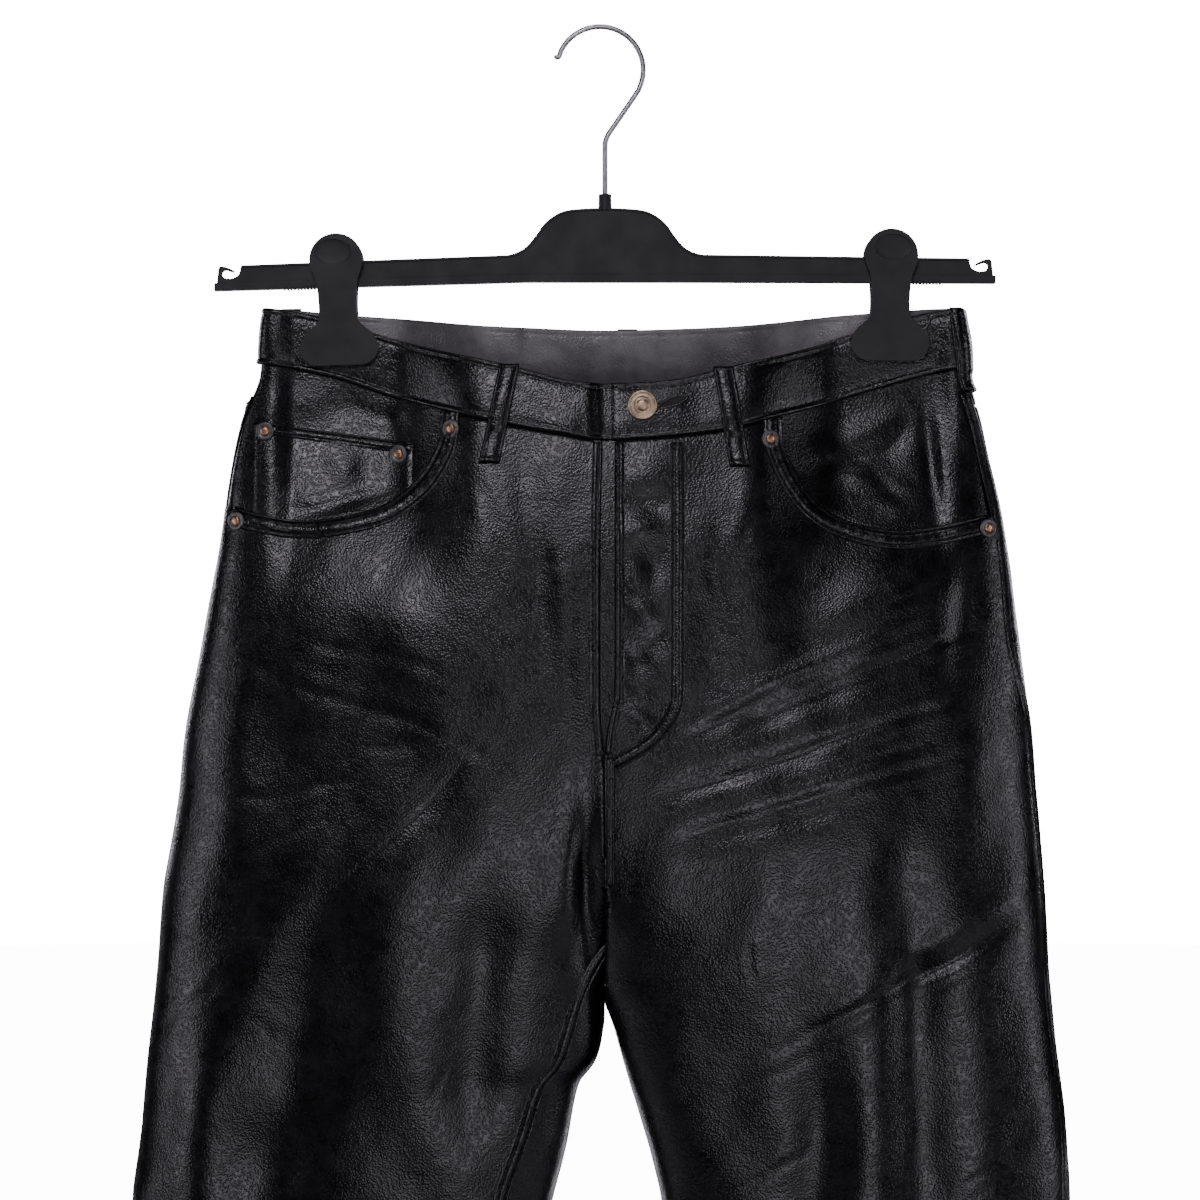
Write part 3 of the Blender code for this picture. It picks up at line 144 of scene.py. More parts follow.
# ---- creases, listed one by one: face, depth, width and the line they follow (x, down) -------------
Crease = namedtuple("Crease", "face depth width line")
CREASES = [Crease(*row) for row in (
    (1, 0.35, 2.0, [(-51, 382), (-71, 408), (-100, 442), (-134, 473), (-165, 499)]),
    (1, 0.26, 2.9, [(-217, 351), (-180, 371), (-137, 385), (-100, 396), (-60, 416), (-26, 430)]),
    (1, 0.19, 3.2, [(-191, 334), (-157, 351), (-111, 359), (-71, 376)]),
    (1, 0.19, 2.8, [(-234, 431), (-185, 436), (-157, 428), (-122, 428)]),
    (1, 0.35, 1.6, [(-217, 511), (-196, 512), (-174, 514)]),
    (1, 0.14, 2.5, [(-174, 514), (-140, 511), (-88, 510)]),
    (1, 0.28, 1.5, [(-140, 506), (-142, 516), (-143, 531)]),
    (1, 0.28, 1.5, [(-98, 509), (-104, 520), (-110, 534)]),
    (1, 0.26, 2.9, [(-259, 576), (-234, 553), (-205, 533)]),
    (1, 0.22, 2.2, [(-207, 558), (-192, 562), (-186, 577)]),
    (1, 0.19, 2.2, [(-100, 612), (-94, 597), (-88, 584)]),
    (1, 0.16, 2.8, [(-150, 402), (-128, 408), (-92, 404), (-64, 397)]),
    (1, 0.14, 2.0, [(-212, 470), (-190, 462), (-168, 452), (-150, 446)]),
    (1, 0.16, 2.2, [(-76, 628), (-98, 640), (-112, 660)]),
    (1, 0.24, 3.4, [(-74, 250), (-66, 268), (-58, 292), (-55, 318)]),
    (1, 0.16, 2.9, [(-84, 252), (-80, 276), (-84, 300)]),
    (1, 0.14, 2.8, [(-48, 252), (-46, 276), (-40, 300)]),
    (1, 0.75, 2.8, [(28, 409), (63, 394), (97, 375), (125, 364), (162, 348), (204, 328)]),
    (1, 0.63, 2.1, [(125, 369), (168, 357), (209, 342)]),
    (1, 0.68, 2.4, [(18, 439), (57, 428), (97, 415), (140, 399), (191, 385), (219, 382)]),
    (1, 0.42, 2.1, [(30, 431), (60, 420), (96, 408)]),
    (1, 0.55, 2.2, [(27, 464), (58, 452), (97, 441), (151, 426), (191, 415), (219, 405)]),
    (1, 0.38, 2.0, [(100, 429), (140, 417), (190, 404)]),
    (1, 0.75, 2.9, [(85, 582), (154, 547), (191, 530), (219, 513), (240, 495)]),
    (1, 0.42, 2.2, [(160, 553), (196, 538), (228, 519)]),
    (1, 0.26, 2.9, [(60, 606), (96, 590), (130, 570)]), (1, 0.35, 1.7, [(80, 513), (81, 526), (83, 540)]),
    (1, 0.30, 1.9, [(103, 500), (116, 497), (129, 496)]),
    (1, 0.42, 1.7, [(197, 666), (202, 653), (219, 643)]),
    (1, 0.35, 2.2, [(66, 662), (98, 643), (128, 627)]),
    (1, 0.30, 2.2, [(120, 700), (141, 676), (152, 650)]),
    (1, 0.35, 3.2, [(64, 282), (60, 306), (66, 332)]), (1, 0.30, 2.9, [(86, 262), (80, 284), (74, 300)]),
    (1, 0.35, 2.0, [(150, 330), (176, 322), (202, 309)]),
    (1, 0.35, 2.0, [(-236, 742), (-196, 750), (-140, 744)]),
    (1, 0.42, 2.5, [(-228, 862), (-180, 872), (-118, 866)]),
    (1, 0.38, 2.2, [(-206, 892), (-160, 884), (-104, 890)]),
    (1, 0.30, 2.0, [(-232, 930), (-190, 918), (-150, 922)]),
    (1, 0.38, 2.5, [(112, 858), (160, 868), (222, 858)]),
    (1, 0.35, 2.2, [(104, 900), (150, 892), (210, 902)]),
    (1, 0.30, 2.1, [(130, 934), (176, 928), (226, 940)]),
    (1, 0.26, 2.2, [(-220, 1040), (-190, 1052), (-150, 1046)]),
    (1, 0.26, 2.2, [(120, 1062), (160, 1050), (214, 1058)]),
    (1, 0.22, 2.0, [(-180, 1130), (-140, 1122), (-108, 1128)]),
    (-1, 0.60, 2.8, [(-20, 478), (-60, 492), (-110, 486), (-165, 470)]),
    (-1, 0.45, 2.2, [(-40, 508), (-90, 514), (-140, 502), (-186, 488)]),
    (-1, 0.60, 2.8, [(22, 482), (70, 494), (120, 488), (170, 474)]),
    (-1, 0.45, 2.2, [(40, 512), (88, 518), (150, 508), (196, 492)]),
    (-1, 0.38, 2.5, [(-120, 446), (-160, 452), (-200, 446)]),
    (-1, 0.38, 2.5, [(110, 450), (150, 455), (206, 448)]),
    (-1, 0.35, 2.2, [(-60, 548), (-100, 560), (-150, 552)]),
    (-1, 0.35, 2.2, [(66, 552), (110, 562), (168, 548)]),
    (-1, 0.45, 2.5, [(-100, 858), (-150, 870), (-222, 862)]),
    (-1, 0.45, 2.5, [(92, 862), (150, 874), (226, 858)]),
    (-1, 0.42, 2.2, [(-90, 884), (-150, 896), (-210, 888)]),
    (-1, 0.42, 2.2, [(104, 890), (160, 898), (220, 884)]),
    (-1, 0.30, 2.2, [(-110, 930), (-160, 922), (-216, 936)]),
    (-1, 0.30, 2.2, [(100, 926), (150, 934), (206, 922)]),
    (-1, 0.26, 2.2, [(-130, 1050), (-180, 1044), (-220, 1056)]),
    (-1, 0.26, 2.2, [(110, 1046), (170, 1054), (216, 1040)]),
    (-1, 0.30, 2.5, [(-180, 640), (-150, 668), (-120, 680)]),
    (-1, 0.30, 2.5, [(110, 700), (150, 682), (200, 690)]),
    (-1, 0.26, 2.2, [(-20, 300), (-26, 340), (-22, 380)]),
    (-1, 0.26, 2.2, [(24, 310), (20, 350), (26, 392)]))]

# ---- soft hollows and swells: face, middle, reach across and down, turn in degrees, height ---------
Swell = namedtuple("Swell", "face x down across along turn height")
SWELLS = [Swell(*row) for row in (
    (1, -11, 372, 9, 70, 0, -1.6), (1, -23, 330, 7, 42, -4, 1.1), (1, -38, 300, 12, 60, -6, -1.2),
    (1, -100, 352, 50, 34, 12, 2.2), (1, -150, 420, 30, 40, 20, -1.4), (1, -205, 420, 16, 60, 0, 1.4),
    (1, -190, 610, 20, 26, 10, 1.6), (1, -120, 560, 26, 50, 15, 1.3), (1, -228, 620, 12, 60, 0, 1.2),
    (1, 168, 319, 27, 17, -20, 2.4), (1, 202, 330, 9, 46, 4, -2.2), (1, 116, 320, 24, 30, 20, -1.3),
    (1, 60, 340, 12, 50, 8, -1.3), (1, 84, 352, 16, 30, 10, 1.2), (1, 205, 425, 14, 40, 0, 1.3),
    (1, 70, 500, 30, 50, 10, 1.2), (1, 214, 610, 14, 60, 0, 1.6), (1, 100, 520, 14, 60, 20, -0.9),
    (1, 23, 271, 13, 8, 8, -2.0), (1, 20, 285, 12, 5, -20, 1.1), (1, 27, 306, 9, 12, 10, -1.6),
    (1, 19, 312, 7, 10, 30, 1.0), (1, 22, 333, 13, 6, 42, 1.3), (1, 30, 346, 7, 12, 20, -1.4),
    (1, 18, 358, 10, 6, 48, -1.1), (1, 15, 381, 15, 5, 40, 1.2), (1, 22, 392, 13, 5, 42, -1.1),
    (1, -10, 484, 7.5, 38, 0, -7.0),
    (-1, -110, 470, 60, 14, 8, -1.6), (-1, 110, 474, 60, 14, -8, -1.6), (-1, -120, 330, 50, 50, 0, 1.6),
    (-1, 120, 330, 50, 50, 0, 1.6), (-1, -60, 620, 20, 60, 8, -1.6), (-1, 190, 640, 18, 60, 0, -1.4),
    (-1, -200, 600, 16, 60, 0, 1.6), (-1, 90, 600, 18, 60, -8, 1.4))]
FACING_SWELLS = {
    RIGHT: [Swell(*row) for row in (
        (1, -180, 214, 26, 9, -14, 1.0), (1, -128, 222, 15, 6, 20, -1.1), (1, -112, 226, 6, 14, 12, 0.9),
        (1, -146, 214, 10, 8, 40, -0.7), (1, -203, 240, 6, 26, 0, -0.8))],
    LEFT: [Swell(*row) for row in (
        (1, 191, 240, 4.2, 30, -4, 1.6), (1, 184, 240, 4.0, 30, -4, -1.0), (1, 148, 230, 24, 7, -22, 1.3),
        (1, 140, 246, 22, 6, -12, -1.3), (1, 146, 256, 20, 4.5, 12, 1.2), (1, 160, 262, 14, 4, 40, -1.0),
        (1, 166, 232, 6, 20, 30, -0.9), (1, 128, 240, 10, 6, 30, 0.9), (1, 203, 246, 5, 30, 0, -0.9),
        (1, 168, 272, 16, 6, 10, 0.8))]}
COIN_SWELLS = [Swell(*row) for row in (
    (1, -176, 252, 18, 14, 10, 1.0), (1, -148, 250, 9, 12, -10, -1.2), (1, -134, 250, 8, 13, 10, 0.8),
    (1, -148, 270, 20, 4, -16, -1.4), (1, -170, 268, 14, 4, 8, 0.5))]


# ==== the body surface ============================================================================
def smooth(at, table, column):
    """A table's column between its rows, on a curve that never overshoots them."""
    keys = np.array([row.down for row in table], float)
    values = np.array([getattr(row, column) for row in table], float)
    spans = np.diff(keys)
    slopes = np.diff(values) / spans
    bends = np.zeros_like(values)
    bends[0], bends[-1] = slopes[0], slopes[-1]
    same_way = slopes[:-1] * slopes[1:] > 0
    both = np.where(same_way, slopes[:-1] + slopes[1:], 1.0)
    bends[1:-1] = np.where(same_way, 2 * slopes[:-1] * slopes[1:] / both, 0.0)
    at = np.clip(at, keys[0], keys[-1])
    i = np.clip(np.searchsorted(keys, at, side="right") - 1, 0, len(spans) - 1)
    t = (at - keys[i]) / spans[i]
    rise = values[i + 1] - values[i]
    start, end = bends[i] * spans[i], bends[i + 1] * spans[i]
    return values[i] + t * (start + t * (3 * rise - 2 * start - end + t * (start + end - 2 * rise)))


def ease(low, high, at):
    t = np.clip((at - low) / (high - low), 0, 1)
    return t * t * (3 - 2 * t)


def by_side(side, table):
    """The entry for each point's own side."""
    return np.where(np.asarray(side) < 0, table[RIGHT], table[LEFT])


def sided(side, down, rows, kind=""):
    """The column of each point's own side, at its distance down."""
    return by_side(side, {way: smooth(down, rows, kind + name) for way, name in NAMES.items()})


Section = namedtuple("Section", "centre half front back")


def section(side, down):
    outer, inner = sided(side, down, BODY), sided(side, down, LEG_GAP)
    centre = smooth(down, BODY, "split") * (outer + inner) / 2
    return Section(centre, outer - centre, smooth(down, BODY, "front"), smooth(down, BODY, "back"))


def pinch(side, x, y, down):
    """The depth y, flattened where a clip holds the waist."""
    clip = by_side(side, CLIP_X)
    hold = (1 - ease(0, PINCH_INNER_FADE, clip - PINCH_HALF - np.abs(x))
            - PINCH_OUTER_LEFT * ease(0, PINCH_OUTER_FADE, np.abs(x) - clip - PINCH_HALF))
    hold = hold * (1 - ease(PINCH_LEVEL, PINCH_END, down))
    return y * (1 - hold) + hold * np.sign(y) * np.minimum(np.abs(y), PINCH_DEPTH)


def bare_body(side, angle, down):
    """The body without folds; the angle turns from the front's middle, 0, by the side to the back, pi."""
    shape = section(side, down)
    turn = np.cos(angle)
    x = side * (shape.centre + shape.half * np.sin(angle))
    near_fork = ease(FORK_FROM, FORK_FULL, down) * (1 - FORK_FADE * ease(FORK_TO, FORK_END, down))
    inner = ease(0.1, -0.5, np.sin(angle))
    full = FULLNESS + (by_side(side, FORK_FULLNESS) - FULLNESS) * near_fork * inner
    y = -np.sign(turn) * np.abs(turn) ** full * np.where(turn > 0, shape.front, shape.back)
    return np.stack([x, pinch(side, x, y, down), -down + 0 * x], axis=-1)


def outward(surface, side, angle, down):
    step_round, step_down = 0.004, 0.6
    along = surface(side, angle + step_round, down) - surface(side, angle - step_round, down)
    below = surface(side, angle, down + step_down) - surface(side, angle, down - step_down)
    normal = np.cross(below, along) * np.asarray(side, float)[..., None]
    normal[..., 2] *= ease(POCKET_LEVEL, POCKET_LEVEL + LEVEL_FADE, down)
    return normal / np.linalg.norm(normal, axis=-1, keepdims=True)


def fold_height(point, angle):
    x, down = point[..., 0], -point[..., 2]
    turn = np.cos(angle)
    height = np.zeros_like(x)
    for fold in FOLDS:
        run = np.array([fold.x1 - fold.x0, fold.down1 - fold.down0], float)
        length = np.hypot(*run)
        run /= length
        dx, dz = x - fold.x0, down - fold.down0
        along = (dx * run[0] + dz * run[1]) / length
        across = dx * run[1] - dz * run[0]
        beyond = np.maximum(np.maximum(-along, along - 1), 0) * length
        taper = ease(-0.05, 0.35, along) * ease(-0.05, 0.35, 1 - along)
        shape = np.exp(-(across / fold.width) ** 2 - (beyond / fold.width) ** 2) * taper
        height += fold.height * shape * ease(*FACE_FADE, fold.face * turn)
    clear = ease(3, 15, np.abs(x))
    return height * np.where(down < CROTCH, clear, 1.0)


def body(side, angle, down):
    point = bare_body(side, angle, down)
    return point + outward(bare_body, side, angle, down) * fold_height(point, angle)[..., None]


def swell_height(x, down, turn, swells):
    height = np.zeros_like(x)
    for swell in swells:
        lean = math.radians(swell.turn)
        dx, dz = x - swell.x, down - swell.down
        u = (dx * math.cos(lean) + dz * math.sin(lean)) / swell.across
        v = (-dx * math.sin(lean) + dz * math.cos(lean)) / swell.along
        height += swell.height * np.exp(-u * u - v * v) * ease(*FACE_FADE, swell.face * turn)
    return height


def crease_height(x, down, turn):
    """Narrow grooves with a soft lip on each side, deepest in their middle and uneven along their line."""
    height = np.zeros_like(x)
    for number, (crease, line) in enumerate(zip(CREASES, CREASE_LINES)):
        low, high = line.min(axis=0) - CREASE_REACH, line.max(axis=0) + CREASE_REACH
        near = (x > low[0]) & (x < high[0]) & (down > low[1]) & (down < high[1])
        if not near.any():
            continue
        px, pd = x[near], down[near]
        run = np.concatenate([[0], np.cumsum(np.hypot(*np.diff(line, axis=0).T))])
        best = np.full(px.shape, 1e9)
        place = np.zeros(px.shape)
        for i in range(len(line) - 1):
            a, b = line[i], line[i + 1]
            d = b - a
            t = np.clip(((px - a[0]) * d[0] + (pd - a[1]) * d[1]) / (d @ d), 0, 1)
            gap = np.hypot(px - a[0] - t * d[0], pd - a[1] - t * d[1])
            closer = gap < best
            best = np.where(closer, gap, best)
            place = np.where(closer, run[i] + t * (run[i + 1] - run[i]), place)
        share = place / run[-1]
        swing = 1 + 0.3 * np.sin(place / 9.0 + number * 1.7) + 0.15 * np.sin(place / 4.1 + number)
        fade = ease(0, 0.3, share) * ease(0, 0.3, 1 - share) * swing
        wide = crease.width
        lip = CREASE_LIP * np.exp(-((best - LIP_AWAY * wide) / (LIP_WIDE * wide)) ** 2)
        shape = -np.exp(-(best / wide) ** 2) + lip
        height[near] += crease.depth * shape * fade * ease(*CREASE_FADE, crease.face * turn[near])
    return height


def ripple_height(x, down):
    """The slow waves of leather that has been worn and hung, longer down the leg than across it."""
    slow = np.sin(x / 11.3 + 1.6 * np.sin(down / 41.0)) * np.sin(down / 37.0 + 1.2 * np.sin(x / 29.0))
    quick = np.sin(x / 5.9 + 1.1 * np.sin(down / 17.0) + down / 31.0) * np.sin(down / 13.0 + x / 19.0)
    return RIPPLE_SLOW * slow + RIPPLE_QUICK * quick


def through(points, step):
    """A smooth line through points, at about even steps."""
    points = np.array(points, float)
    ends = np.vstack([2 * points[0] - points[1], points, 2 * points[-1] - points[-2]])
    line = []
    for i in range(1, len(ends) - 2):
        p0, p1, p2, p3 = ends[i - 1:i + 3]
        count = max(1, int(round(np.linalg.norm(p2 - p1) / step)))
        for t in np.arange(count) / count:
            line.append(0.5 * (2 * p1 + t * (p2 - p0) + t * t * (2 * p0 - 5 * p1 + 4 * p2 - p3)
                               + t ** 3 * (3 * p1 - p0 - 3 * p2 + p3)))
    return line + [points[-1]]


CREASE_LINES = [np.array(through(crease.line, 8.0)) for crease in CREASES]


def skin(side, angle, down, offset, fine=True, swells=()):
    """Points at an offset from the leather's inner face, with the fine creases added."""
    side, angle, down, offset = np.broadcast_arrays(np.asarray(side), angle, down, offset)
    point = body(side, angle, down)
    turn = np.cos(angle)
    height = np.array(offset, float)
    if fine:
        height = height + swell_height(point[..., 0], down, turn, SWELLS)
        height = height + crease_height(point[..., 0], down, turn)
        clear = ease(*RIPPLE_SIDE, np.abs(point[..., 0])) * ease(*RIPPLE_TOP, down)
        height = height + clear * ripple_height(point[..., 0], down)
    if swells:
        height = height + swell_height(point[..., 0], down, turn, swells)
    return point + outward(body, side, angle, down) * height[..., None]


def angle_at(side, face, x, down):
    shape = section(side, down)
    turn = np.arcsin(np.clip((np.asarray(x, float) - shape.centre) / shape.half, -1, 1))
    return np.where(np.asarray(face) > 0, turn, math.pi - turn)


def band_edge(side, angle, column):
    down = np.full_like(np.asarray(angle, float), BAND_LEVEL)
    for _ in range(4):
        shape = section(side, down)
        x = side * (shape.centre + shape.half * np.sin(angle))
        down = np.where(np.cos(angle) > 0, smooth(x, BAND_FRONT, column), smooth(x, BAND_BACK, column))
    return down


def band_levels(side, face, x):
    """The band's top edge and its seam at distances from the middle."""
    table = BAND_FRONT if face > 0 else BAND_BACK
    return smooth(side * x, table, "top"), smooth(side * x, table, "seam")


def at_band(side, face, x):
    return float(angle_at(side, face, x, band_levels(side, face, x)[1]))


def seam_angle(side, kind, down):
    return np.radians(sided(side, down, SEAMS, kind + "_"))


def middle_angle(side, face, down):
    fly = sided(side, down, FLY) if face > 0 else 0.0
    return angle_at(side, face, FROM_MIDDLE + fly, down)


def inner_angle(side, face, down):
    inseam = seam_angle(side, "inseam", down) + (0 if face > 0 else 2 * math.pi)
    return np.where(down < CROTCH, middle_angle(side, face, down), inseam)


def panel_edges(side, face, down):
    """The angles of a panel's two edges, at the middle or inseam and at the side seam."""
    return inner_angle(side, face, down), seam_angle(side, "side", down)


# ==== materials ===================================================================================
def new_material(name, colour, metallic, roughness):
    material = bpy.data.materials.new(name)
    material.use_nodes = True
    shader = material.node_tree.nodes["Principled BSDF"]
    shader.inputs["Base Color"].default_value = (*colour, 1)
    shader.inputs["Metallic"].default_value = metallic
    shader.inputs["Roughness"].default_value = roughness
    return material, material.node_tree, shader


def add_node(tree, kind, **settings):
    node = tree.nodes.new(kind)
    for name, value in settings.items():
        if name in node.inputs:
            node.inputs[name].default_value = value
        else:
            setattr(node, name, value)
    return node


def texture(tree, kind, output, **settings):
    """A procedural texture in the object's own metres."""
    node = add_node(tree, kind, **settings)
    coordinates = tree.nodes.get("Texture Coordinate") or tree.nodes.new("ShaderNodeTexCoord")
    tree.links.new(coordinates.outputs["Object"], node.inputs["Vector"])
    return node.outputs[output]


def noise(tree, scale, detail=3.0, rough=0.55):
    return texture(tree, "ShaderNodeTexNoise", "Fac", Scale=scale, Detail=detail, Roughness=rough)


def remap(tree, value, low, high, to_low, to_high):
    node = add_node(tree, "ShaderNodeMapRange", interpolation_type="SMOOTHSTEP")
    tree.links.new(value, node.inputs["Value"])
    for name, number in zip(("From Min", "From Max", "To Min", "To Max"), (low, high, to_low, to_high)):
        node.inputs[name].default_value = number
    return node.outputs["Result"]


def mix_colour(tree, factor, dark, light):
    node = add_node(tree, "ShaderNodeMix", data_type="RGBA")
    tree.links.new(factor, node.inputs["Factor"])
    node.inputs["A"].default_value = (*dark, 1)
    node.inputs["B"].default_value = (*light, 1)
    return node.outputs["Result"]


def bump(tree, shader, layers):
    """Stack bumps of (height, strength, distance in metres) on the shader's normal."""
    below = None
    for height, strength, distance in layers:
        node = tree.nodes.new("ShaderNodeBump")
        node.inputs["Strength"].default_value = strength
        node.inputs["Distance"].default_value = distance
        tree.links.new(height, node.inputs["Height"])
        if below:
            tree.links.new(below, node.inputs["Normal"])
        below = node.outputs["Normal"]
    tree.links.new(below, shader.inputs["Normal"])


GRAIN, GRAIN_HIGH, CRUMPLE = 760, 0.00010, 75


def make_leather(name, dark, light, roughness, crumpled=0.00036):
    """Grained leather: a drifting tone, a polish that wears unevenly, and pebbles on a soft crumple."""
    material, tree, shader = new_material(name, dark, 0.0, roughness[0])
    tone = remap(tree, noise(tree, 26, 5.0, 0.6), 0.35, 0.68, 0.0, 1.0)
    tree.links.new(mix_colour(tree, tone, dark, light), shader.inputs["Base Color"])
    worn = remap(tree, noise(tree, 90, 4.0, 0.6), 0.3, 0.7, *roughness)
    tree.links.new(worn, shader.inputs["Roughness"])
    shader.inputs["Specular IOR Level"].default_value = 0.5
    cells = texture(tree, "ShaderNodeTexVoronoi", "Distance", feature="F1", Scale=GRAIN)
    pebbles = remap(tree, cells, 0.05, 0.75, 1.0, 0.0)
    bump(tree, shader, [(noise(tree, CRUMPLE, 1.5, 0.5), 1.0, crumpled), (pebbles, 1.0, GRAIN_HIGH)])
    return material


def make_thread():
    material, tree, shader = new_material("thread", (0.010, 0.009, 0.011), 0.0, 0.5)
    twist = texture(tree, "ShaderNodeTexWave", "Fac", bands_direction="DIAGONAL", Scale=900)
    tree.links.new(mix_colour(tree, twist, (0.006, 0.005, 0.007), (0.020, 0.018, 0.021)),
                   shader.inputs["Base Color"])
    bump(tree, shader, [(twist, 0.3, 0.0002)])
    return material


def make_plastic():
    material, tree, shader = new_material("black_plastic_fine", (0.010, 0.010, 0.011), 0.0, 0.34)
    tree.links.new(remap(tree, noise(tree, 60, 4.0), 0.3, 0.7, 0.52, 0.64), shader.inputs["Roughness"])
    tree.links.new(mix_colour(tree, noise(tree, 40), (0.0062, 0.0062, 0.0070), (0.0110, 0.0110, 0.0118)),
                   shader.inputs["Base Color"])
    bump(tree, shader, [(noise(tree, 1100, 2.0), 0.7, 0.00010)])
    return material


def make_metal(name, dark, light, roughness, scale, scratch=0.15):
    material, tree, shader = new_material(name, dark, 1.0, roughness)
    tone = remap(tree, noise(tree, scale, 5.0, 0.6), 0.3, 0.7, 0.0, 1.0)
    tree.links.new(mix_colour(tree, tone, dark, light), shader.inputs["Base Color"])
    tree.links.new(remap(tree, noise(tree, scale * 2, 4.0), 0.3, 0.7, roughness * 0.75, roughness * 1.3),
                   shader.inputs["Roughness"])
    bump(tree, shader, [(noise(tree, scale * 3, 3.0), scratch, 0.0002)])
    return material


LEATHER_SKIN = make_leather("leather_black", (0.0013, 0.0011, 0.0016), (0.0038, 0.0033, 0.0043), (0.26, 0.34))
# The band's inner face is the same leather painted light grey. This is painted light that stands for the
# light falling on it.
LEATHER_INSIDE_PAINTED_LIT = make_leather("leather_inside_painted_light", (0.095, 0.090, 0.096), (0.210, 0.203, 0.212), (0.30, 0.46),
                              0.0012)
THREAD = make_thread()
PLASTIC = make_plastic()
STEEL = make_metal("dark_chrome", (0.36, 0.35, 0.36), (0.50, 0.49, 0.50), 0.38, 220, 0.05)
BRASS = make_metal("antique_brass", (0.40, 0.29, 0.20), (0.62, 0.48, 0.35), 0.42, 420)
RIVET_RING = make_metal("rivet_ring", (0.10, 0.10, 0.11), (0.19, 0.18, 0.18), 0.48, 600)
COPPER = make_metal("rivet_copper", (0.40, 0.20, 0.12), (0.62, 0.36, 0.23), 0.38, 600)
SLIT = make_leather("slit_shadow", (0.003, 0.003, 0.003), (0.005, 0.005, 0.005), (0.7, 0.8))


# ==== meshes ======================================================================================
def place_mesh(name, shape, mesh=None):
    """An object in the scene from a bmesh."""
    mesh = mesh or bpy.data.meshes.new(name)
    shape.to_mesh(mesh)
    shape.free()
    item = bpy.data.objects.new(name, mesh)
    bpy.context.scene.collection.objects.link(item)
    return item


def solid(name, points, faces):
    """A closed object from millimetre points, its faces turned outwards."""
    mesh = bpy.data.meshes.new(name)
    mesh.from_pydata((np.asarray(points, float) * MM).tolist(), [], [list(face) for face in faces])
    shape = bmesh.new()
    shape.from_mesh(mesh)
    bmesh.ops.recalc_face_normals(shape, faces=shape.faces)
    return place_mesh(name, shape, mesh)


def dress(item, material, nodes=()):
    """An object's material; it rides on the one body and may stand for model nodes."""
    item.data.materials.clear()
    item.data.materials.append(material)
    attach(item, "root")
    if nodes:
        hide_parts(*nodes)
    return item


def add_piece(name, points, faces, material, nodes=(), sharp=50):
    piece = solid(name, points, faces)
    piece.data.shade_smooth()
    piece.data.set_sharp_from_angle(angle=math.radians(sharp))
    return dress(piece, material, nodes)


def spokes(u, v, around):
    """Directions round a circle, from u towards v."""
    turn = np.linspace(0, 2 * math.pi, around, endpoint=False)[:, None]
    return np.cos(turn) * u + np.sin(turn) * v


def ring_faces(rings, around, closed=False):
    """Quads between rings of points; unless the last ring meets the first, each end has a cap."""
    count = rings * around
    faces = []
    for first in range(0, count if closed else count - around, around):
        for i in range(around):
            here, there = first + i, first + (i + 1) % around
            faces.append([here, there, (there + around) % count, (here + around) % count])
    return faces if closed else faces + [list(range(around)), list(range(count - around, count))]


def shell_faces(rows, columns):
    """Quads of two grid layers and of the rim that joins them."""
    number = np.arange(rows * columns).reshape(rows, columns)
    quads = np.stack([number[:-1, :-1], number[:-1, 1:], number[1:, 1:], number[1:, :-1]], axis=-1)
    quads = quads.reshape(-1, 4)
    rim = np.concatenate([number[0], number[1:, -1], number[-1, -2::-1], number[-2:0:-1, 0]])
    count = rows * columns
    after = np.roll(rim, -1)
    edge = np.stack([rim, after, after + count, rim + count], axis=-1)
    return np.concatenate([quads[:, ::-1], quads + count, edge]).tolist()


def add_shell(name, inner, outer, material=LEATHER_SKIN, nodes=()):
    """A closed wall between two grids of points."""
    points = np.concatenate([inner.reshape(-1, 3), outer.reshape(-1, 3)])
    return add_piece(name, points, shell_faces(*inner.shape[:2]), material, nodes=nodes)


def add_skin(node, faces, keep=None, inside=None):
    """The wall that stands for a node; keep holds it on one side, inside is its inner face's material."""
    inner, outer = [keep_side(keep, face) for face in faces] if keep else faces
    piece = add_shell(node + "_skin", inner, outer, nodes=(node,))
    if inside:
        piece.data.materials.append(inside)
        which = np.zeros(len(piece.data.polygons), dtype=np.int32)
        which[:(inner.shape[0] - 1) * (inner.shape[1] - 1)] = 1
        piece.data.polygons.foreach_set("material_index", which)
    return piece


def wall(side, angles, downs, inner, outer, **how):
    """A wall's inner and outer faces, at offsets from the leather's inner face."""
    return skin(side, angles, downs, inner, **how), skin(side, angles, downs, outer, **how)


FINE_ENDS = (0.0, 0.5, 1.1, 1.9, 3.0, 4.5)


def stations(length, step, fine=FINE_ENDS):
    """Shares of a length: close together at both ends, then at even steps."""
    fine = np.array(fine)
    count = max(2, int(round((length - 2 * fine[-1]) / step)) + 1)
    middle = np.linspace(fine[-1], length - fine[-1], count)[1:-1]
    return np.concatenate([fine, middle, length - fine[::-1]]) / length


def arc_angles(side, first, last, down, shares):
    """Angles at shares of the length along one level row; what the legs hide between them hardly counts."""
    angle = np.linspace(first, last, ARC_SAMPLES)
    point = bare_body(side, angle, np.full(ARC_SAMPLES, float(down)))
    hidden = (side * point[1:, 0] < TOUCHING) * (1 - ease(CROTCH, APART, down)) * (down >= CROTCH)
    step = np.linalg.norm(np.diff(point, axis=0), axis=1) * (1 - HIDDEN * hidden)
    run = np.concatenate([[0], np.cumsum(step)])
    return np.interp(shares * run[-1], run, angle)


def run_length(points, axis):
    """Distances along a grid's rows or columns, from its first edge."""
    step = np.linalg.norm(np.diff(points, axis=axis), axis=-1)
    zero = np.zeros_like(np.take(step, [0], axis=axis))
    return np.concatenate([zero, np.cumsum(step, axis=axis)], axis=axis)


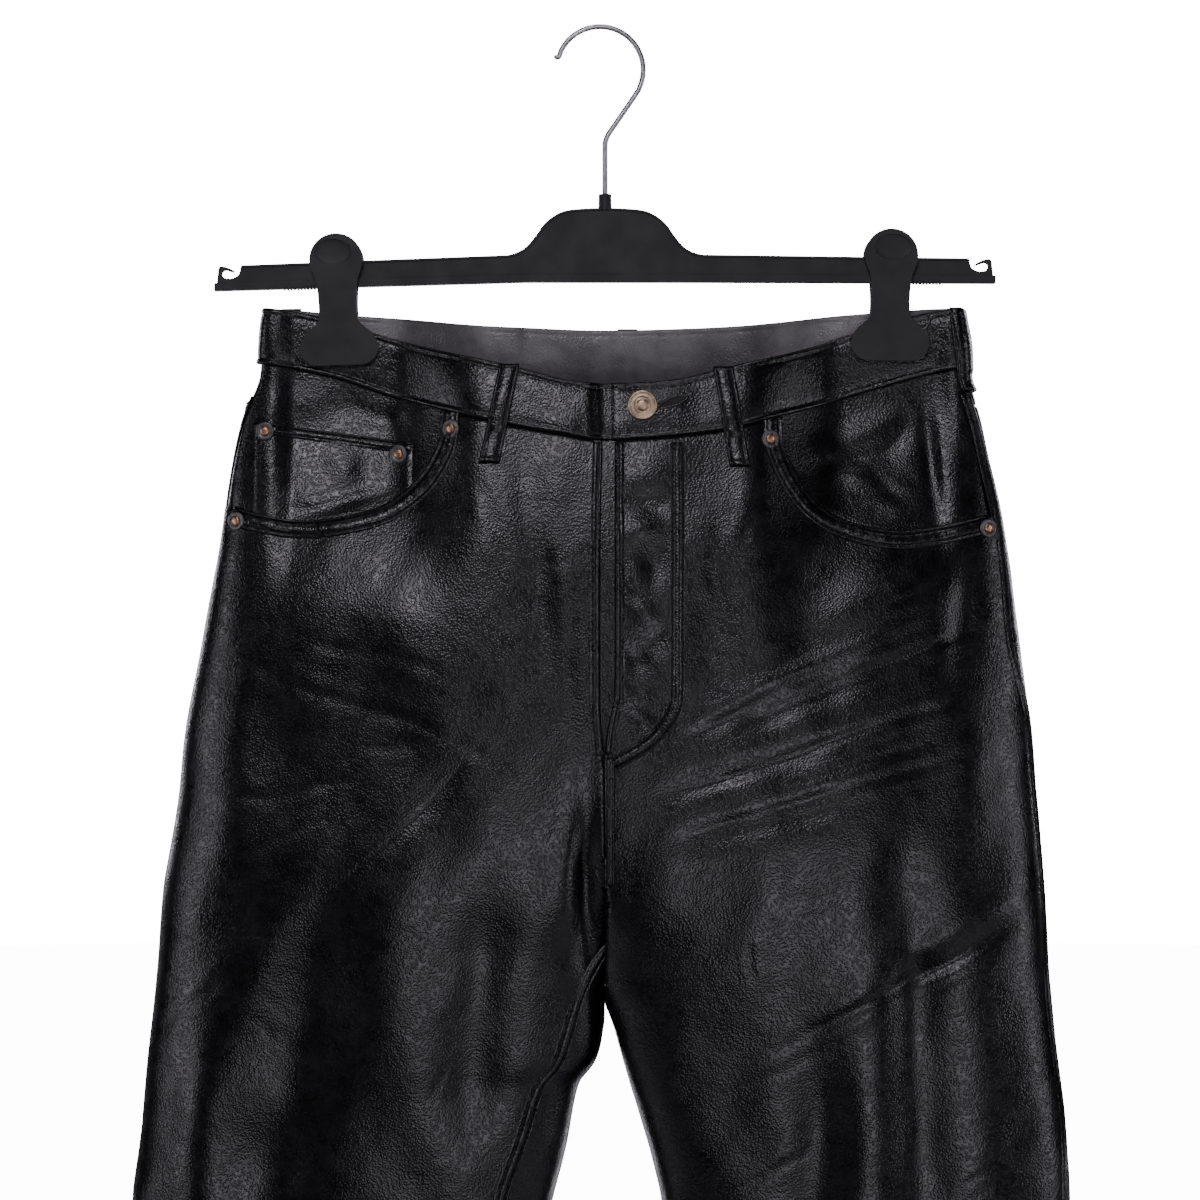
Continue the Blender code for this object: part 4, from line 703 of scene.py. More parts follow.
def edge_dip(points, depth=0.85, reach=0.9, hem=False, full=0.0):
    """How much the outer face rounds away at a panel's edges; where full is 1 the inner edge stays whole."""
    across, down = run_length(points, 1), run_length(points, 0)
    near = np.minimum(across + 9 * reach * full, across[:, -1:] - across)
    near = np.minimum(near, down)
    if hem:
        near = np.minimum(near, down[-1:] - down)
    return depth * np.exp(-(near / reach) ** 2)


def keep_side(side, points):
    points = points.copy()
    points[..., 0] = side * np.maximum(side * points[..., 0], 0.03)
    return points


def named(kind, side):
    return f"{kind}_{NAMES[side]}"


# ==== fronts and backs ============================================================================
VIEW_END = 690.0
LEG_ROWS_BELOW = np.concatenate([np.arange(VIEW_END, HEM_TOP - 4, 9.0),
                                 HEM_TOP + np.array([-2, -0.8, 0, 1.0, 3.0, 8, 13, 18, 20, 21])])
FLY_TOP, POCKET_STEP, POCKET_TURN_ROWS = 235.0, 2.0, 9
EVEN_SHARE = 0.4


def pocket_contour(side):
    """The pocket's opening edge from the waistband to the side seam, as angles and distances down."""
    line = np.array(through(POCKET_EDGE[side], POCKET_STEP))
    angle = angle_at(side, 1, line[:, 0], line[:, 1])
    end = POCKET_SIDE_DOWN[side]
    turn = np.linspace(angle[-1], seam_angle(side, "side", end), POCKET_TURN_ROWS)[1:]
    drop = np.linspace(line[-1, 1], end, POCKET_TURN_ROWS)[1:]
    return np.append(angle, turn), np.append(line[:, 1], drop)


def resample(side, angle, down, step):
    run = run_length(bare_body(side, angle, down), 0)
    shares = stations(run[-1], step) * run[-1]
    return np.interp(shares, run, angle), np.interp(shares, run, down)


def front_plan(side, step=2.0):
    """A front's upper edge along the band and the pocket, and its columns where the level rows begin."""
    x0 = abs(bare_body(side, middle_angle(side, 1, FLY_TOP), FLY_TOP)[0])
    x = np.linspace(x0, POCKET_START[side], 60)
    seam = band_levels(side, 1, x)[1] + CUT_GAP
    band = resample(side, angle_at(side, 1, x, seam), seam, step)
    pocket = resample(side, *pocket_contour(side), step)
    top_angle = np.append(band[0], pocket[0][1:])
    top_down = np.append(band[1], pocket[1][1:])
    across = np.abs(bare_body(side, top_angle, top_down)[:, 0])
    share = (1 - EVEN_SHARE) * np.maximum.accumulate((across - across[0]) / (across.max() - across[0]))
    share = share + EVEN_SHARE * np.linspace(0, 1, len(share))
    share /= share[-1]
    level = arc_angles(side, *panel_edges(side, 1, POCKET_LEVEL), POCKET_LEVEL, share)
    return top_angle, top_down, level, share


def leg_rows(side, face, downs, level_share):
    """Angles of level rows, whose columns become even towards the crotch."""
    count = len(level_share)
    even = stations(240.0, 240.0 / (count + 1 - 2 * len(FINE_ENDS)))
    even = np.interp(np.linspace(0, 1, count), np.linspace(0, 1, len(even)), even)
    rows = []
    for down in downs:
        mix = ease(POCKET_LEVEL, CROTCH, down)
        shares = level_share * (1 - mix) + even * mix
        rows.append(arc_angles(side, *panel_edges(side, face, down), down, shares))
    return np.array(rows)


def plan_grid(side, face, top_angle, top_down, level, level_share, top_rows, step):
    """A panel's angles and distances down: rows that level out, then level rows to the hem."""
    shares = stations(60.0, 60.0 / top_rows)[:-1, None]
    upper_down = top_down + (POCKET_LEVEL - top_down) * shares
    upper = top_angle + (level - top_angle) * shares
    upper[:, 0] = inner_angle(side, face, upper_down[:, 0])
    upper[:, -1] = seam_angle(side, "side", upper_down[:, -1])
    levels = np.concatenate([np.arange(POCKET_LEVEL, VIEW_END - step / 2, step), LEG_ROWS_BELOW])
    lower = leg_rows(side, face, levels, level_share)
    lower_down = np.repeat(levels[:, None], lower.shape[1], axis=1)
    return np.concatenate([upper, lower]), np.concatenate([upper_down, lower_down])


def add_leg_panel(name, side, angles, downs):
    """One leg panel: a thin skin, double at the turned hem, rounded where it is sewn."""
    middle = skin(side, angles, downs, LEATHER, fine=False)
    dip = edge_dip(middle, hem=True, full=ease(CROTCH - 20, CROTCH - 8, downs) * ease(625, 605, downs))
    hem = ease(HEM_TOP - 1.0, HEM_TOP + 0.6, downs)
    groove = 0.35 * np.exp(-((downs - HEM_TOP - 2.0) / 1.2) ** 2)
    outer = LEATHER + 0.25 * hem - groove - dip
    return add_skin(name, wall(side, angles, downs, (LEATHER - HEM_THICK) * hem, outer), keep=side)


def add_front(side):
    return add_leg_panel(named("front", side), side, *plan_grid(side, 1, *front_plan(side), 24, 2.0))


def yoke_down(side, angle):
    shape = section(side, np.full_like(angle, (YOKE_MIDDLE + YOKE_SIDE) / 2))
    share = np.clip((shape.centre + shape.half * np.sin(angle)) / (shape.centre + shape.half), 0, 1)
    return YOKE_MIDDLE + (YOKE_SIDE - YOKE_MIDDLE) * share


def add_back(side, step=3.2):
    share = stations(245.0, step)
    first, last = middle_angle(side, -1, YOKE_MIDDLE), seam_angle(side, "side", YOKE_SIDE)
    top = arc_angles(side, first, last, 240.0, share)
    level = arc_angles(side, *panel_edges(side, -1, POCKET_LEVEL), POCKET_LEVEL, share)
    grid = plan_grid(side, -1, top, yoke_down(side, top) + CUT_GAP, level, share, 16, step)
    return add_leg_panel(named("back", side), side, *grid)


def add_yoke(side, step=3.0):
    plan = arc_angles(side, *panel_edges(side, -1, BAND_LEVEL), 200.0, stations(225.0, step))
    top = band_edge(side, plan, "seam") - 0.5
    shares = stations(60.0, step)[:, None]
    downs = top + (yoke_down(side, plan) - CUT_GAP - top) * shares
    angles = np.tile(plan, (len(shares), 1))
    dip = edge_dip(skin(side, angles, downs, LEATHER, fine=False), hem=True)
    return add_skin(named("yoke", side), wall(side, angles, downs, 0.0, LEATHER - dip), keep=side)


# ==== strips: stitched hems and ridges laid along a line ==========================================
Profile = namedtuple("Profile", "across height")
FOOT, END_HEIGHT = 0.3, 0.35
SEAM_STEP, SEAM_WAVE = 2.4, (0.06, 4.9)
STITCH = np.linspace(0, 1, 5)                        # a stitch's rings along its length, and their girth
STITCH_GIRTH, STITCH_ROUND, STITCH_ARCH, STITCH_FLAT = np.array([0.35, 0.9, 1.0, 0.9, 0.35]), 6, 0.12, 0.75


def unit(vectors):
    return vectors / np.linalg.norm(vectors, axis=-1, keepdims=True)


def columns(profile):
    """A profile's distances across and its heights."""
    return np.array(profile, float).T


def line_frame(line, step):
    """A smooth line with its unit direction and the distance along it, all in (x, down)."""
    line = np.array(through(line, step))
    return line, unit(np.gradient(line, axis=0)), run_length(line, 0)


def on_skin(side, face, x, down, offset):
    """Points named by their place in a front or back view; x has the side's own sign taken away."""
    side = np.where(x < 0, -side, side) if np.ndim(x) else side
    x = np.abs(x)
    return skin(side, angle_at(side, face, x, down), down, offset)


def strip_heights(profile, run, wave, start=1.5):
    """A strip's under and outer heights along its run: puckered in its middle, low at its ends."""
    across, height = columns(profile)
    rise, pitch = wave
    middle = np.clip(1 - (2 * (across - across.mean()) / np.ptp(across)) ** 2, 0, 1)
    sway = np.sin(2 * math.pi * run / pitch + 1.3 * np.sin(run / 11.0)) + 0.4 * np.sin(run / 3.7)
    tall = height + rise * sway[:, None] * middle
    ends = np.minimum(ease(-1.0, start, run), ease(-1.0, 1.5, run[-1] - run))[:, None]
    return np.minimum(FOOT, tall - 0.2), FOOT + (tall - FOOT) * (END_HEIGHT + (1 - END_HEIGHT) * ends)


def add_strip(name, side, face, line, profile, step, wave, lift=None):
    """A strip whose cross-section is a profile; wave is the height and length of its puckers."""
    line, ahead, run = line_frame(line, step)
    across = columns(profile)[0]
    x = line[:, :1] - ahead[:, 1:] * across
    down = line[:, 1:] + ahead[:, :1] * across
    base = lift(x, down) if lift else 0.0
    return add_shell(name, *[on_skin(side, face, x, down, base + height)
                             for height in strip_heights(profile, run, wave)])


def add_thread(name, place, height, thick=0.55):
    """Stitches as short bent rods; place gives the middles of their rings at a height."""
    arch = height + STITCH_ARCH * np.sin(math.pi * STITCH)
    middle = place(arch)
    above = unit(place(arch + 1.0) - middle)
    girth = STITCH_GIRTH * thick / 2
    turns = np.linspace(0, 2 * math.pi, STITCH_ROUND, endpoint=False)
    wide = np.cross(unit(np.gradient(middle, axis=1)), above)
    points = (middle[:, :, None] + wide[:, :, None] * (np.cos(turns) * girth[:, None])[..., None]
              + above[:, :, None] * (np.sin(turns) * girth[:, None] * STITCH_FLAT)[..., None])
    each = len(STITCH) * STITCH_ROUND
    faces = [[first + corner for corner in face] for first in range(0, len(middle) * each, each)
             for face in ring_faces(len(STITCH), STITCH_ROUND)]
    return add_piece(name, points.reshape(-1, 3), faces, THREAD)


def stitch_places(length_of_run, pitch, length):
    return np.arange(pitch * 0.5, length_of_run - length, pitch)[:, None] + STITCH * length


def add_stitches(name, side, face, line, shift, height, pitch=3.1, length=2.3, thick=0.55, lift=None):
    """A row of stitches that follows a line, shifted across it."""
    line, ahead, run = line_frame(line, 0.8)
    at = stitch_places(run[-1], pitch, length)
    shift = shift + 0.12 * np.sin(np.arange(len(at)) * 2.1)[:, None]
    x = np.interp(at, run, line[:, 0]) - np.interp(at, run, ahead[:, 1]) * shift
    down = np.interp(at, run, line[:, 1]) + np.interp(at, run, ahead[:, 0]) * shift
    base = lift(x, down) if lift else 0.0
    return add_thread(name, lambda high: on_skin(side, face, x, down, base + high), height, thick)


def add_rows(name, side, face, line, shifts, *sizes, lift=None):
    """Rows of stitches along one line."""
    return [add_stitches(f"{name}_stitches_{number}", side, face, line, shift, *sizes, lift=lift)
            for number, shift in enumerate(shifts)]


def add_path_stitches(name, side, angle, down, height, pitch=3.3, length=2.4):
    """A row of stitches along a path of angles and distances down."""
    run = run_length(bare_body(side, angle, down), 0)
    at = stitch_places(run[-1], pitch, length)
    angle, down = np.interp(at, run, angle), np.interp(at, run, down)
    return add_thread(name, lambda high: skin(side, angle, down, high), height)


def beside_seam(side, kind, down, across):
    """Angles at distances across a seam, positive towards the front."""
    half = 70
    turn = np.linspace(-0.7, 0.7, 2 * half + 1) * (1 if kind == "inseam" else -1)
    grid = seam_angle(side, kind, down)[:, None] + turn
    run = run_length(bare_body(side, grid, np.repeat(down[:, None], len(turn), axis=1)), 1)
    run = run - run[:, half:half + 1]
    return np.array([np.interp(wide, row, angle) for wide, row, angle in zip(across, run, grid)])


def add_seam(name, side, kind, start, profile, rows):
    """A felled seam down a leg with its rows of stitches, each row at (across, height) as far as its last."""
    down = np.arange(start, HEM_TOP - 1, SEAM_STEP)
    across = columns(profile)[0]
    angle = beside_seam(side, kind, down, np.tile(across, (len(down), 1)))
    downs = np.repeat(down[:, None], len(across), axis=1)
    heights = strip_heights(profile, down - start, SEAM_WAVE, 4.0)
    pieces = [add_shell(name, *wall(side, angle, downs, *heights))]
    for number, (wide, high, last) in enumerate(rows):
        path = np.arange(start + 1, min(HEM_TOP - 1, last), SEAM_STEP)
        angle = beside_seam(side, kind, path, np.full((len(path), 1), wide))[:, 0]
        pieces.append(add_path_stitches(f"{name}_stitches_{number}", side, angle, path, high))
    return pieces


# ==== hems, seams and stitch lines of the fronts ==================================================
POCKET_HEM = [Profile(*row) for row in (
    (-0.6, 0.4), (-0.4, 1.7), (0.1, 2.7), (0.7, 2.9), (1.3, 2.4), (1.8, 1.8), (2.4, 2.3), (3.6, 2.65),
    (5.4, 2.6), (6.9, 2.2), (7.6, 1.5), (8.2, 1.7), (8.9, 2.3), (9.5, 2.1), (10.1, 1.3), (10.6, 0.8))]
FLAT_SEAM = [Profile(*row) for row in (
    (-4.4, 0.7), (-4.1, 1.8), (-3.5, 2.5), (-2.9, 2.4), (-2.4, 1.8), (-1.8, 2.2), (-0.8, 2.7), (0.6, 2.7),
    (1.7, 2.3), (2.3, 1.7), (2.8, 2.0), (3.4, 1.8), (4.2, 0.9))]
FLAT_ROWS = ((-2.4, 1.8, HEM_TOP - 2), (2.3, 1.8, HEM_TOP - 2))
SIDE_SEAM = [Profile(*row) for row in (
    (-1.7, 0.7), (-1.3, 1.9), (-0.6, 2.5), (0.1, 2.3), (0.8, 1.7), (1.8, 1.5), (3.0, 1.4), (4.0, 0.9))]
SIDE_ROWS = ((1.6, 1.62, 345.0),)
FLY_EDGE = [Profile(*row) for row in (
    (-0.4, 0.5), (-0.2, 1.7), (0.4, 2.6), (1.0, 2.6), (1.7, 2.0), (2.2, 1.6), (3.0, 2.0), (4.2, 1.8),
    (5.6, 0.9))]
FLY_RIDGE = [Profile(*row) for row in (
    (-4.3, 0.7), (-3.8, 1.45), (-3.3, 1.6), (-2.85, 1.2), (-2.3, 1.8), (-1.6, 2.4), (-0.8, 2.75), (0.0, 2.8),
    (0.8, 2.75), (1.6, 2.4), (2.3, 1.8), (2.85, 1.2), (3.3, 1.6), (3.8, 1.45), (4.3, 0.7))]
FLY_LINE = [(40.8, 236.5), (40.6, 280), (40.4, 330), (40.2, 376), (38.6, 386), (34.0, 394.5), (26.0, 403.5),
            (16.0, 410.5), (4.5, 416.6)]
FRONT_LEFT_EDGE = [(5.7, 236.5), (5.7, 300), (5.7, 372), (4.4, 384), (1.6, 398), (0.2, 411)]
FRONT_RIGHT_EDGE = [(1.8, 236.5), (2.9, 290), (3.0, 372), (2.6, 392), (0.8, 412)]


def add_pocket_hem(side):
    name = named("pocket_hem", side)
    start = POCKET_EDGE[side][0]
    line = [(start[0] + 0.2, start[1] + 1.0)] + POCKET_EDGE[side][1:]
    hem = add_strip(name, side, 1, line, POCKET_HEM, 1.4, (0.10, 6.4))
    return [hem] + add_rows(name, side, 1, line, (1.6, 8.0), 1.75)


def add_fly():
    """The fly's two edges and the ridge of its J-shaped double row, as the left front's and the right's."""
    left_edge = FRONT_LEFT_EDGE[::-1]
    left = [add_strip("fly_ridge", LEFT, 1, FLY_LINE, FLY_RIDGE, 0.42, (0.09, 1.9)),
            add_strip("fly_edge_left", LEFT, 1, left_edge, FLY_EDGE, 1.4, (0.07, 5.0)),
            add_stitches("fly_stitches_inner", LEFT, 1, FLY_LINE, -2.85, 1.4, 2.6, 1.9),
            add_stitches("fly_stitches_outer", LEFT, 1, FLY_LINE, 2.85, 1.4, 2.6, 1.9),
            add_stitches("fly_edge_stitches_left", LEFT, 1, left_edge, 2.1, 1.65)]
    right = [add_strip("fly_edge_right", RIGHT, 1, FRONT_RIGHT_EDGE, mirrored(FLY_EDGE), 1.4, (0.07, 5.3)),
             add_stitches("fly_edge_stitches_right", RIGHT, 1, FRONT_RIGHT_EDGE, -2.1, 1.65)]
    return left, right


def mirrored(profile):
    return [Profile(-row.across, row.height) for row in profile][::-1]


def add_fork_seam():
    """The felled seam from the fly down to the fork, with its double row."""
    line = [(2.9, 413), (2.9, 440), (2.9, 465), (3.0, 485)]
    profile = [Profile(row.across * 0.62, row.height - 0.25) for row in FLAT_SEAM]
    seam = add_strip("fork_seam", LEFT, 1, line, profile, 1.2, (0.05, 4.0))
    return [seam] + add_rows("fork_seam", LEFT, 1, line, (-1.5, 1.45), 1.5, 2.9, 2.1)


def add_leg_seams(side):
    """The inseam on the front, the side seam on the back, and the hem's row on the back."""
    inner = add_seam(named("inseam", side), side, "inseam", 500.0, FLAT_SEAM, FLAT_ROWS)
    outer = add_seam(named("side_seam", side), side, "side", 209.0, SIDE_SEAM, SIDE_ROWS)
    turn = np.linspace(0.01, 2 * math.pi - 0.01, 500)
    down = np.full(len(turn), HEM_TOP + 2.0)
    outer.append(add_path_stitches(named("hem_stitches", side), side, turn, down, 1.25))
    return inner, outer


def add_back_seams():
    """The yoke seams and the middle seam behind, each with two rows of stitches."""
    seams = {}
    for side in NAMES:
        x = np.linspace(4.0, 205.0, 24)
        line = list(zip(x, yoke_down(side, angle_at(side, -1, x, np.full(len(x), 240.0)))))
        name = named("yoke_seam", side)
        seams[side] = [add_strip(name, side, -1, line, FLAT_SEAM, 1.8, (0.06, 4.4))]
        seams[side] += add_rows(name, side, -1, line, (-2.4, 2.3), 1.8)
    line = [(4.0, 206), (4.0, 300), (4.0, 400), (4.0, 484)]
    seams[LEFT].append(add_strip("seat_seam", LEFT, -1, line, mirrored(FLAT_SEAM), 1.8, (0.06, 4.6)))
    seams[LEFT] += add_rows("seat_seam", LEFT, -1, line, (-2.3, 2.4), 1.8)
    return seams


# ==== waistband ===================================================================================
BAND_PROFILE = [Profile(*row) for row in (
    (0.0, 0.9), (0.5, 1.75), (1.2, 2.25), (2.0, 2.3), (2.7, 1.95), (3.3, 1.75), (4.0, 2.0), (5.5, 2.2),
    (8.5, 2.3), (12, 2.35), (16, 2.35), (20, 2.3), (24, 2.2), (27, 2.1), (28.4, 1.85), (29.0, 1.75),
    (29.6, 2.2), (30.4, 2.65), (31.2, 2.75), (31.9, 2.4), (32.4, 1.6), (32.6, 0.8))]
BAND_DEPTH = 32.6
BAND_INSIDE = [Profile(*row) for row in (
    (0.0, -0.1), (0.5, -0.6), (1.2, -0.95), (2.0, -1.0), (2.7, -0.8), (3.3, -0.7), (4.0, -0.85), (5.5, -0.95),
    (8.5, -1.0), (12, -1.05), (16, -1.0), (20, -1.0), (24, -1.0), (27, -0.95), (28.4, -0.9), (29.0, -0.85),
    (29.6, -0.85), (30.4, -0.8), (31.2, -0.7), (31.9, -0.5), (32.4, -0.3), (32.6, 0.0))]
BandSwell = namedtuple("BandSwell", "side face x share across along height")
BAND_SWELLS = [BandSwell(*row) for row in (
    (LEFT, 1, 15, 0.08, 4, 0.10, -0.8), (LEFT, 1, 26, 0.85, 12, 0.12, -0.7),
    (LEFT, 1, 28, 0.95, 10, 0.08, 0.5), (RIGHT, 1, 22, 0.85, 11, 0.14, 0.8),
    (RIGHT, 1, 12, 0.80, 5, 0.16, -0.9), (RIGHT, 1, 36, 0.70, 8, 0.3, -0.4),
    (LEFT, 1, 52, 0.5, 9, 0.6, -0.6), (LEFT, 1, 92, 0.45, 14, 0.5, 0.5), (RIGHT, 1, 84, 0.5, 16, 0.5, 0.5),
    (RIGHT, 1, 116, 0.4, 7, 0.5, -0.6), (LEFT, 1, 126, 0.4, 7, 0.5, -0.5),
    (LEFT, -1, 60, 0.5, 20, 0.5, 0.5), (RIGHT, -1, 90, 0.5, 20, 0.5, 0.5),
    (LEFT, -1, 130, 0.4, 12, 0.5, -0.4), (RIGHT, -1, 30, 0.5, 14, 0.5, -0.4))]


def band_sides(parts, step=2.0):
    """Columns of a stretch of waistband from parts of (side, first angle, last angle)."""
    sides, angles = [], []
    for number, (side, first, last) in enumerate(parts):
        span = np.linspace(first, last, 60)
        point = bare_body(side, span, np.full(60, BAND_LEVEL))
        length = np.linalg.norm(np.diff(point, axis=0), axis=1).sum()
        shares = np.linspace(0, 1, max(3, int(round(length / step)) + 1))
        angle = arc_angles(side, first, last, BAND_LEVEL, shares)[1 if number else 0:]
        sides.append(np.full(len(angle), side))
        angles.append(angle)
    return np.concatenate(sides), np.concatenate(angles)


def add_band(name, sides, angles, drop):
    """A stretch of waistband: rolled edges with puckers along them, a slow wave, and its own swells."""
    top, seam = band_edge(sides, angles, "top"), band_edge(sides, angles, "seam")
    across, height = columns(BAND_PROFILE)[..., None]
    share = across / BAND_DEPTH
    downs = top + (seam - top) * share
    grid = np.tile(angles, (len(share), 1))
    point = bare_body(sides, grid, downs)
    run = run_length(point, 1)
    height = height + 0 * downs
    inside = columns(BAND_INSIDE)[1][:, None] + 0 * downs
    near = np.minimum(run, run[:, -1:] - run)
    height = height - 0.8 * np.exp(-(near / 1.2) ** 2)
    inside = inside + 0.6 * np.exp(-(near / 1.4) ** 2)
    pucker = np.sin(run / 1.15 + 1.5 * np.sin(run / 9)) * 0.10
    height += pucker * (np.exp(-((share - 0.90) / 0.06) ** 2) + np.exp(-((share - 0.10) / 0.06) ** 2))
    height += 0.22 * np.sin(run / 13 + 2 * share) * np.sin(run / 31) * np.sin(math.pi * share)
    for swell in BAND_SWELLS:
        u = (np.abs(point[..., 0]) - swell.x) / swell.across
        v = (share - swell.share) / swell.along
        here = (sides == swell.side) & (np.cos(grid) * swell.face > 0)
        bulge = swell.height * np.exp(-u * u - v * v) * here
        height += bulge
        inside += bulge
    faces = wall(sides, grid, downs, inside - drop, height - drop, fine=False)
    # the inner face takes the leather painted light grey, as painted light
    return add_skin(name, faces, inside=LEATHER_INSIDE_PAINTED_LIT)


def add_waistbands():
    """The left band over the fly and round behind, and the right one from the tongue under it."""
    join = at_band(RIGHT, -1, BAND_JOIN)
    left = band_sides([(LEFT, at_band(LEFT, 1, BAND_START), math.pi), (RIGHT, math.pi, join)])
    left_band = add_band("waistband_left", *left, 0.0)
    tongue, start = at_band(LEFT, 1, TONGUE_END), at_band(RIGHT, 1, 0.0)
    sides, angles = band_sides([(LEFT, tongue, 0.0), (RIGHT, start, join)])
    drop = TONGUE_DROP * ease(-10.0, -1.0, sides * np.sin(angles) * 200)
    return add_band("waistband_right", sides, angles, drop), left_band


BandRow = namedtuple("BandRow", "owner side face start end")
BAND_ROWS = [BandRow(*row) for row in (
    (RIGHT, RIGHT, 1, 1.0, 194.0), (LEFT, LEFT, 1, 5.0, 206.0), (RIGHT, RIGHT, -1, 49.5, 194.0),
    (LEFT, LEFT, -1, 0.5, 206.0), (LEFT, RIGHT, -1, 0.5, 46.5))]


def add_band_stitches():
    rows = {RIGHT: [], LEFT: []}
    for row in BAND_ROWS:
        x = np.arange(row.start, row.end, 6.0)
        top, seam = band_levels(row.side, row.face, x)
        name = f"{named('band_stitches', row.owner)}_{NAMES[row.side]}_{'front' if row.face > 0 else 'back'}"
        for number, across in enumerate((3.3, 29.0)):
            line = list(zip(x, top + (seam - top) * (across / BAND_DEPTH)))
            rows[row.owner].append(add_stitches(f"{name}_{number}", row.side, row.face, line, 0.0, 1.9))
    line = [(4.9, down) for down in np.linspace(205.5, 233.0, 5)]
    rows[LEFT].append(add_stitches("band_end_stitches", LEFT, 1, line, 0.0, 2.25))
    return rows


# ==== belt loops ==================================================================================
LoopPlan = namedtuple("LoopPlan", "name side face top_x foot_x foot_down")
LOOPS = [LoopPlan("belt_loop_front_right", RIGHT, 1, 53.6, 65.0, 248.5),
         LoopPlan("belt_loop_front_left", LEFT, 1, 66.4, 75.5, 250.5),
         LoopPlan("belt_loop_back", LEFT, -1, 13.0, 13.0, 217.0)]
LOOP_PROFILE = [Profile(*row) for row in (
    (-5.75, 0.5), (-5.6, 1.2), (-5.2, 1.75), (-4.7, 1.9), (-4.1, 1.65), (-3.6, 1.35), (-3.0, 1.6),
    (-1.6, 1.85), (0.0, 1.9), (1.6, 1.85), (3.0, 1.6), (3.6, 1.35), (4.1, 1.65), (4.7, 1.9), (5.2, 1.75),
    (5.6, 1.2), (5.75, 0.5))]


LOOP_RISE = 0.8                      # how far a loop stands above the band


def loop_under(down, top, seam):
    """How far a loop's under face stands off: over the band's rounded top, on the band, then the leather."""
    over_band = ease(seam + 0.8, seam + 4.0, down)
    bulge = 1.2 * np.sin(np.pi * np.clip((down - top) / (seam + 4.0 - top), 0, 1)) ** 2
    height = (BAND_OUT + 0.35 + bulge) * (1 - over_band) + (LEATHER + 0.2) * over_band
    return height - 1.9 * np.exp(-(down - top + LOOP_RISE) ** 2)


def loop_height(height, down, foot):
    """The loop's own height: thicker at the fold above its foot, and low at its very end."""
    fold = 0.7 * np.exp(-((down - foot + 2.2) / 1.6) ** 2)
    return (height + fold) * (0.25 + 0.75 * ease(0.0, 1.0, foot - down))


def add_loop(loop):
    """A loop sewn to the front or the back, with two rows of stitches and a tack across its foot."""
    place, foot = (loop.side, loop.face), loop.foot_down
    top, seam = band_levels(*place, loop.top_x)
    steps = np.concatenate([np.linspace(0, 0.08, 6)[:-1], np.linspace(0.08, 0.9, 44)[:-1],
                            np.linspace(0.9, 1.0, 10)])[:, None]
    across, height = columns(LOOP_PROFILE)
    x = loop.top_x + (loop.foot_x - loop.top_x) * steps + across
    downs = top - LOOP_RISE + (foot - top + LOOP_RISE) * steps + 0 * across
    under = loop_under(downs, top, seam)
    tall = loop_height(height, downs, foot) + 0.06 * np.sin(downs / 1.3)
    piece = add_skin(loop.name, [on_skin(*place, x, downs, under + high) for high in (0, tall)])

    def lift(_, down):
        return loop_under(down, top, seam)

    line = [(loop.top_x, top + 1.5), ((loop.top_x + loop.foot_x) / 2, (top + foot) / 2),
            (loop.foot_x, foot - 3.5)]
    extras = add_rows(loop.name, *place, line, (-3.6, 3.6), 1.45, 2.7, 2.0, 0.5, lift=lift)
    tack = [(loop.foot_x + wide, foot - 3.4) for wide in (-4.6, 4.6)]
    extras.append(add_stitches(loop.name + "_tack", *place, tack, 0.0, 2.45, 0.75, 0.62, 1.6, lift))
    return piece, extras


SideLoop = namedtuple("SideLoop", "name side first last foot_down")
SIDE_LOOPS = [SideLoop(*row) for row in (
    ("belt_loop_side_right", RIGHT, at_band(RIGHT, -1, 187.4), at_band(RIGHT, -1, 176.0), 209.0),
    ("belt_loop_side_left", LEFT, math.radians(76), math.radians(91), 207.0))]


def add_side_loop(loop):
    across, height = columns(LOOP_PROFILE)
    angle = arc_angles(loop.side, loop.first, loop.last, 185.0, across / LOOP_WIDTH + 0.5)
    top, seam = (band_edge(loop.side, angle, edge).mean() for edge in ("top", "seam"))
    steps = np.linspace(0, 1, 46)[:, None]
    downs = top - LOOP_RISE + (loop.foot_down - top + LOOP_RISE) * steps + 0 * angle
    under = loop_under(downs, top, seam)
    tall = loop_height(height, downs, loop.foot_down)
    grid = np.tile(angle, (len(steps), 1))
    return add_skin(loop.name, wall(loop.side, grid, downs, under, under + tall, fine=False))


# ==== facings, coin pocket, fly shield and back pockets ===========================================
UNDER_FRONT, UNDER_COLUMNS = 7.0, 14


def add_facing(side):
    """The facing in the pocket opening, running on under the front below and towards the fly."""
    edge_angle, edge_down = pocket_contour(side)
    first, last = at_band(side, 1, POCKET_START[side] - 6.0), seam_angle(side, "side", BAND_LEVEL)
    top_angle = arc_angles(side, first, last, 200.0, np.linspace(0, 1, len(edge_angle)))
    top_down = band_edge(side, top_angle, "seam") - 0.8
    end_down = edge_down + UNDER_FRONT
    end_down[-UNDER_COLUMNS:] = edge_down[-UNDER_COLUMNS:] + np.linspace(UNDER_FRONT, 0.2, UNDER_COLUMNS)
    end_angle = edge_angle.copy()
    end_angle[:UNDER_COLUMNS] -= np.linspace(0.03, 0.0, UNDER_COLUMNS)
    steps = stations(60.0, 2.0)[:, None]
    downs = top_down + (end_down - top_down) * steps
    angles = top_angle + (end_angle - top_angle) * steps
    angles[:, -1] = seam_angle(side, "side", downs[:, -1])
    x = np.abs(bare_body(side, angles, downs)[..., 0])
    under = ease(POCKET_START[side] + 1, POCKET_START[side] - 3, x) * 2.0
    past = ease(0.0, 4.0, downs - edge_down) * 1.4
    base = -SEAM_GAP - np.maximum(under, past)
    faces = wall(side, angles, downs, base - LEATHER, base, fine=False, swells=FACING_SWELLS[side])
    return add_skin(named("pocket_facing", side), faces)


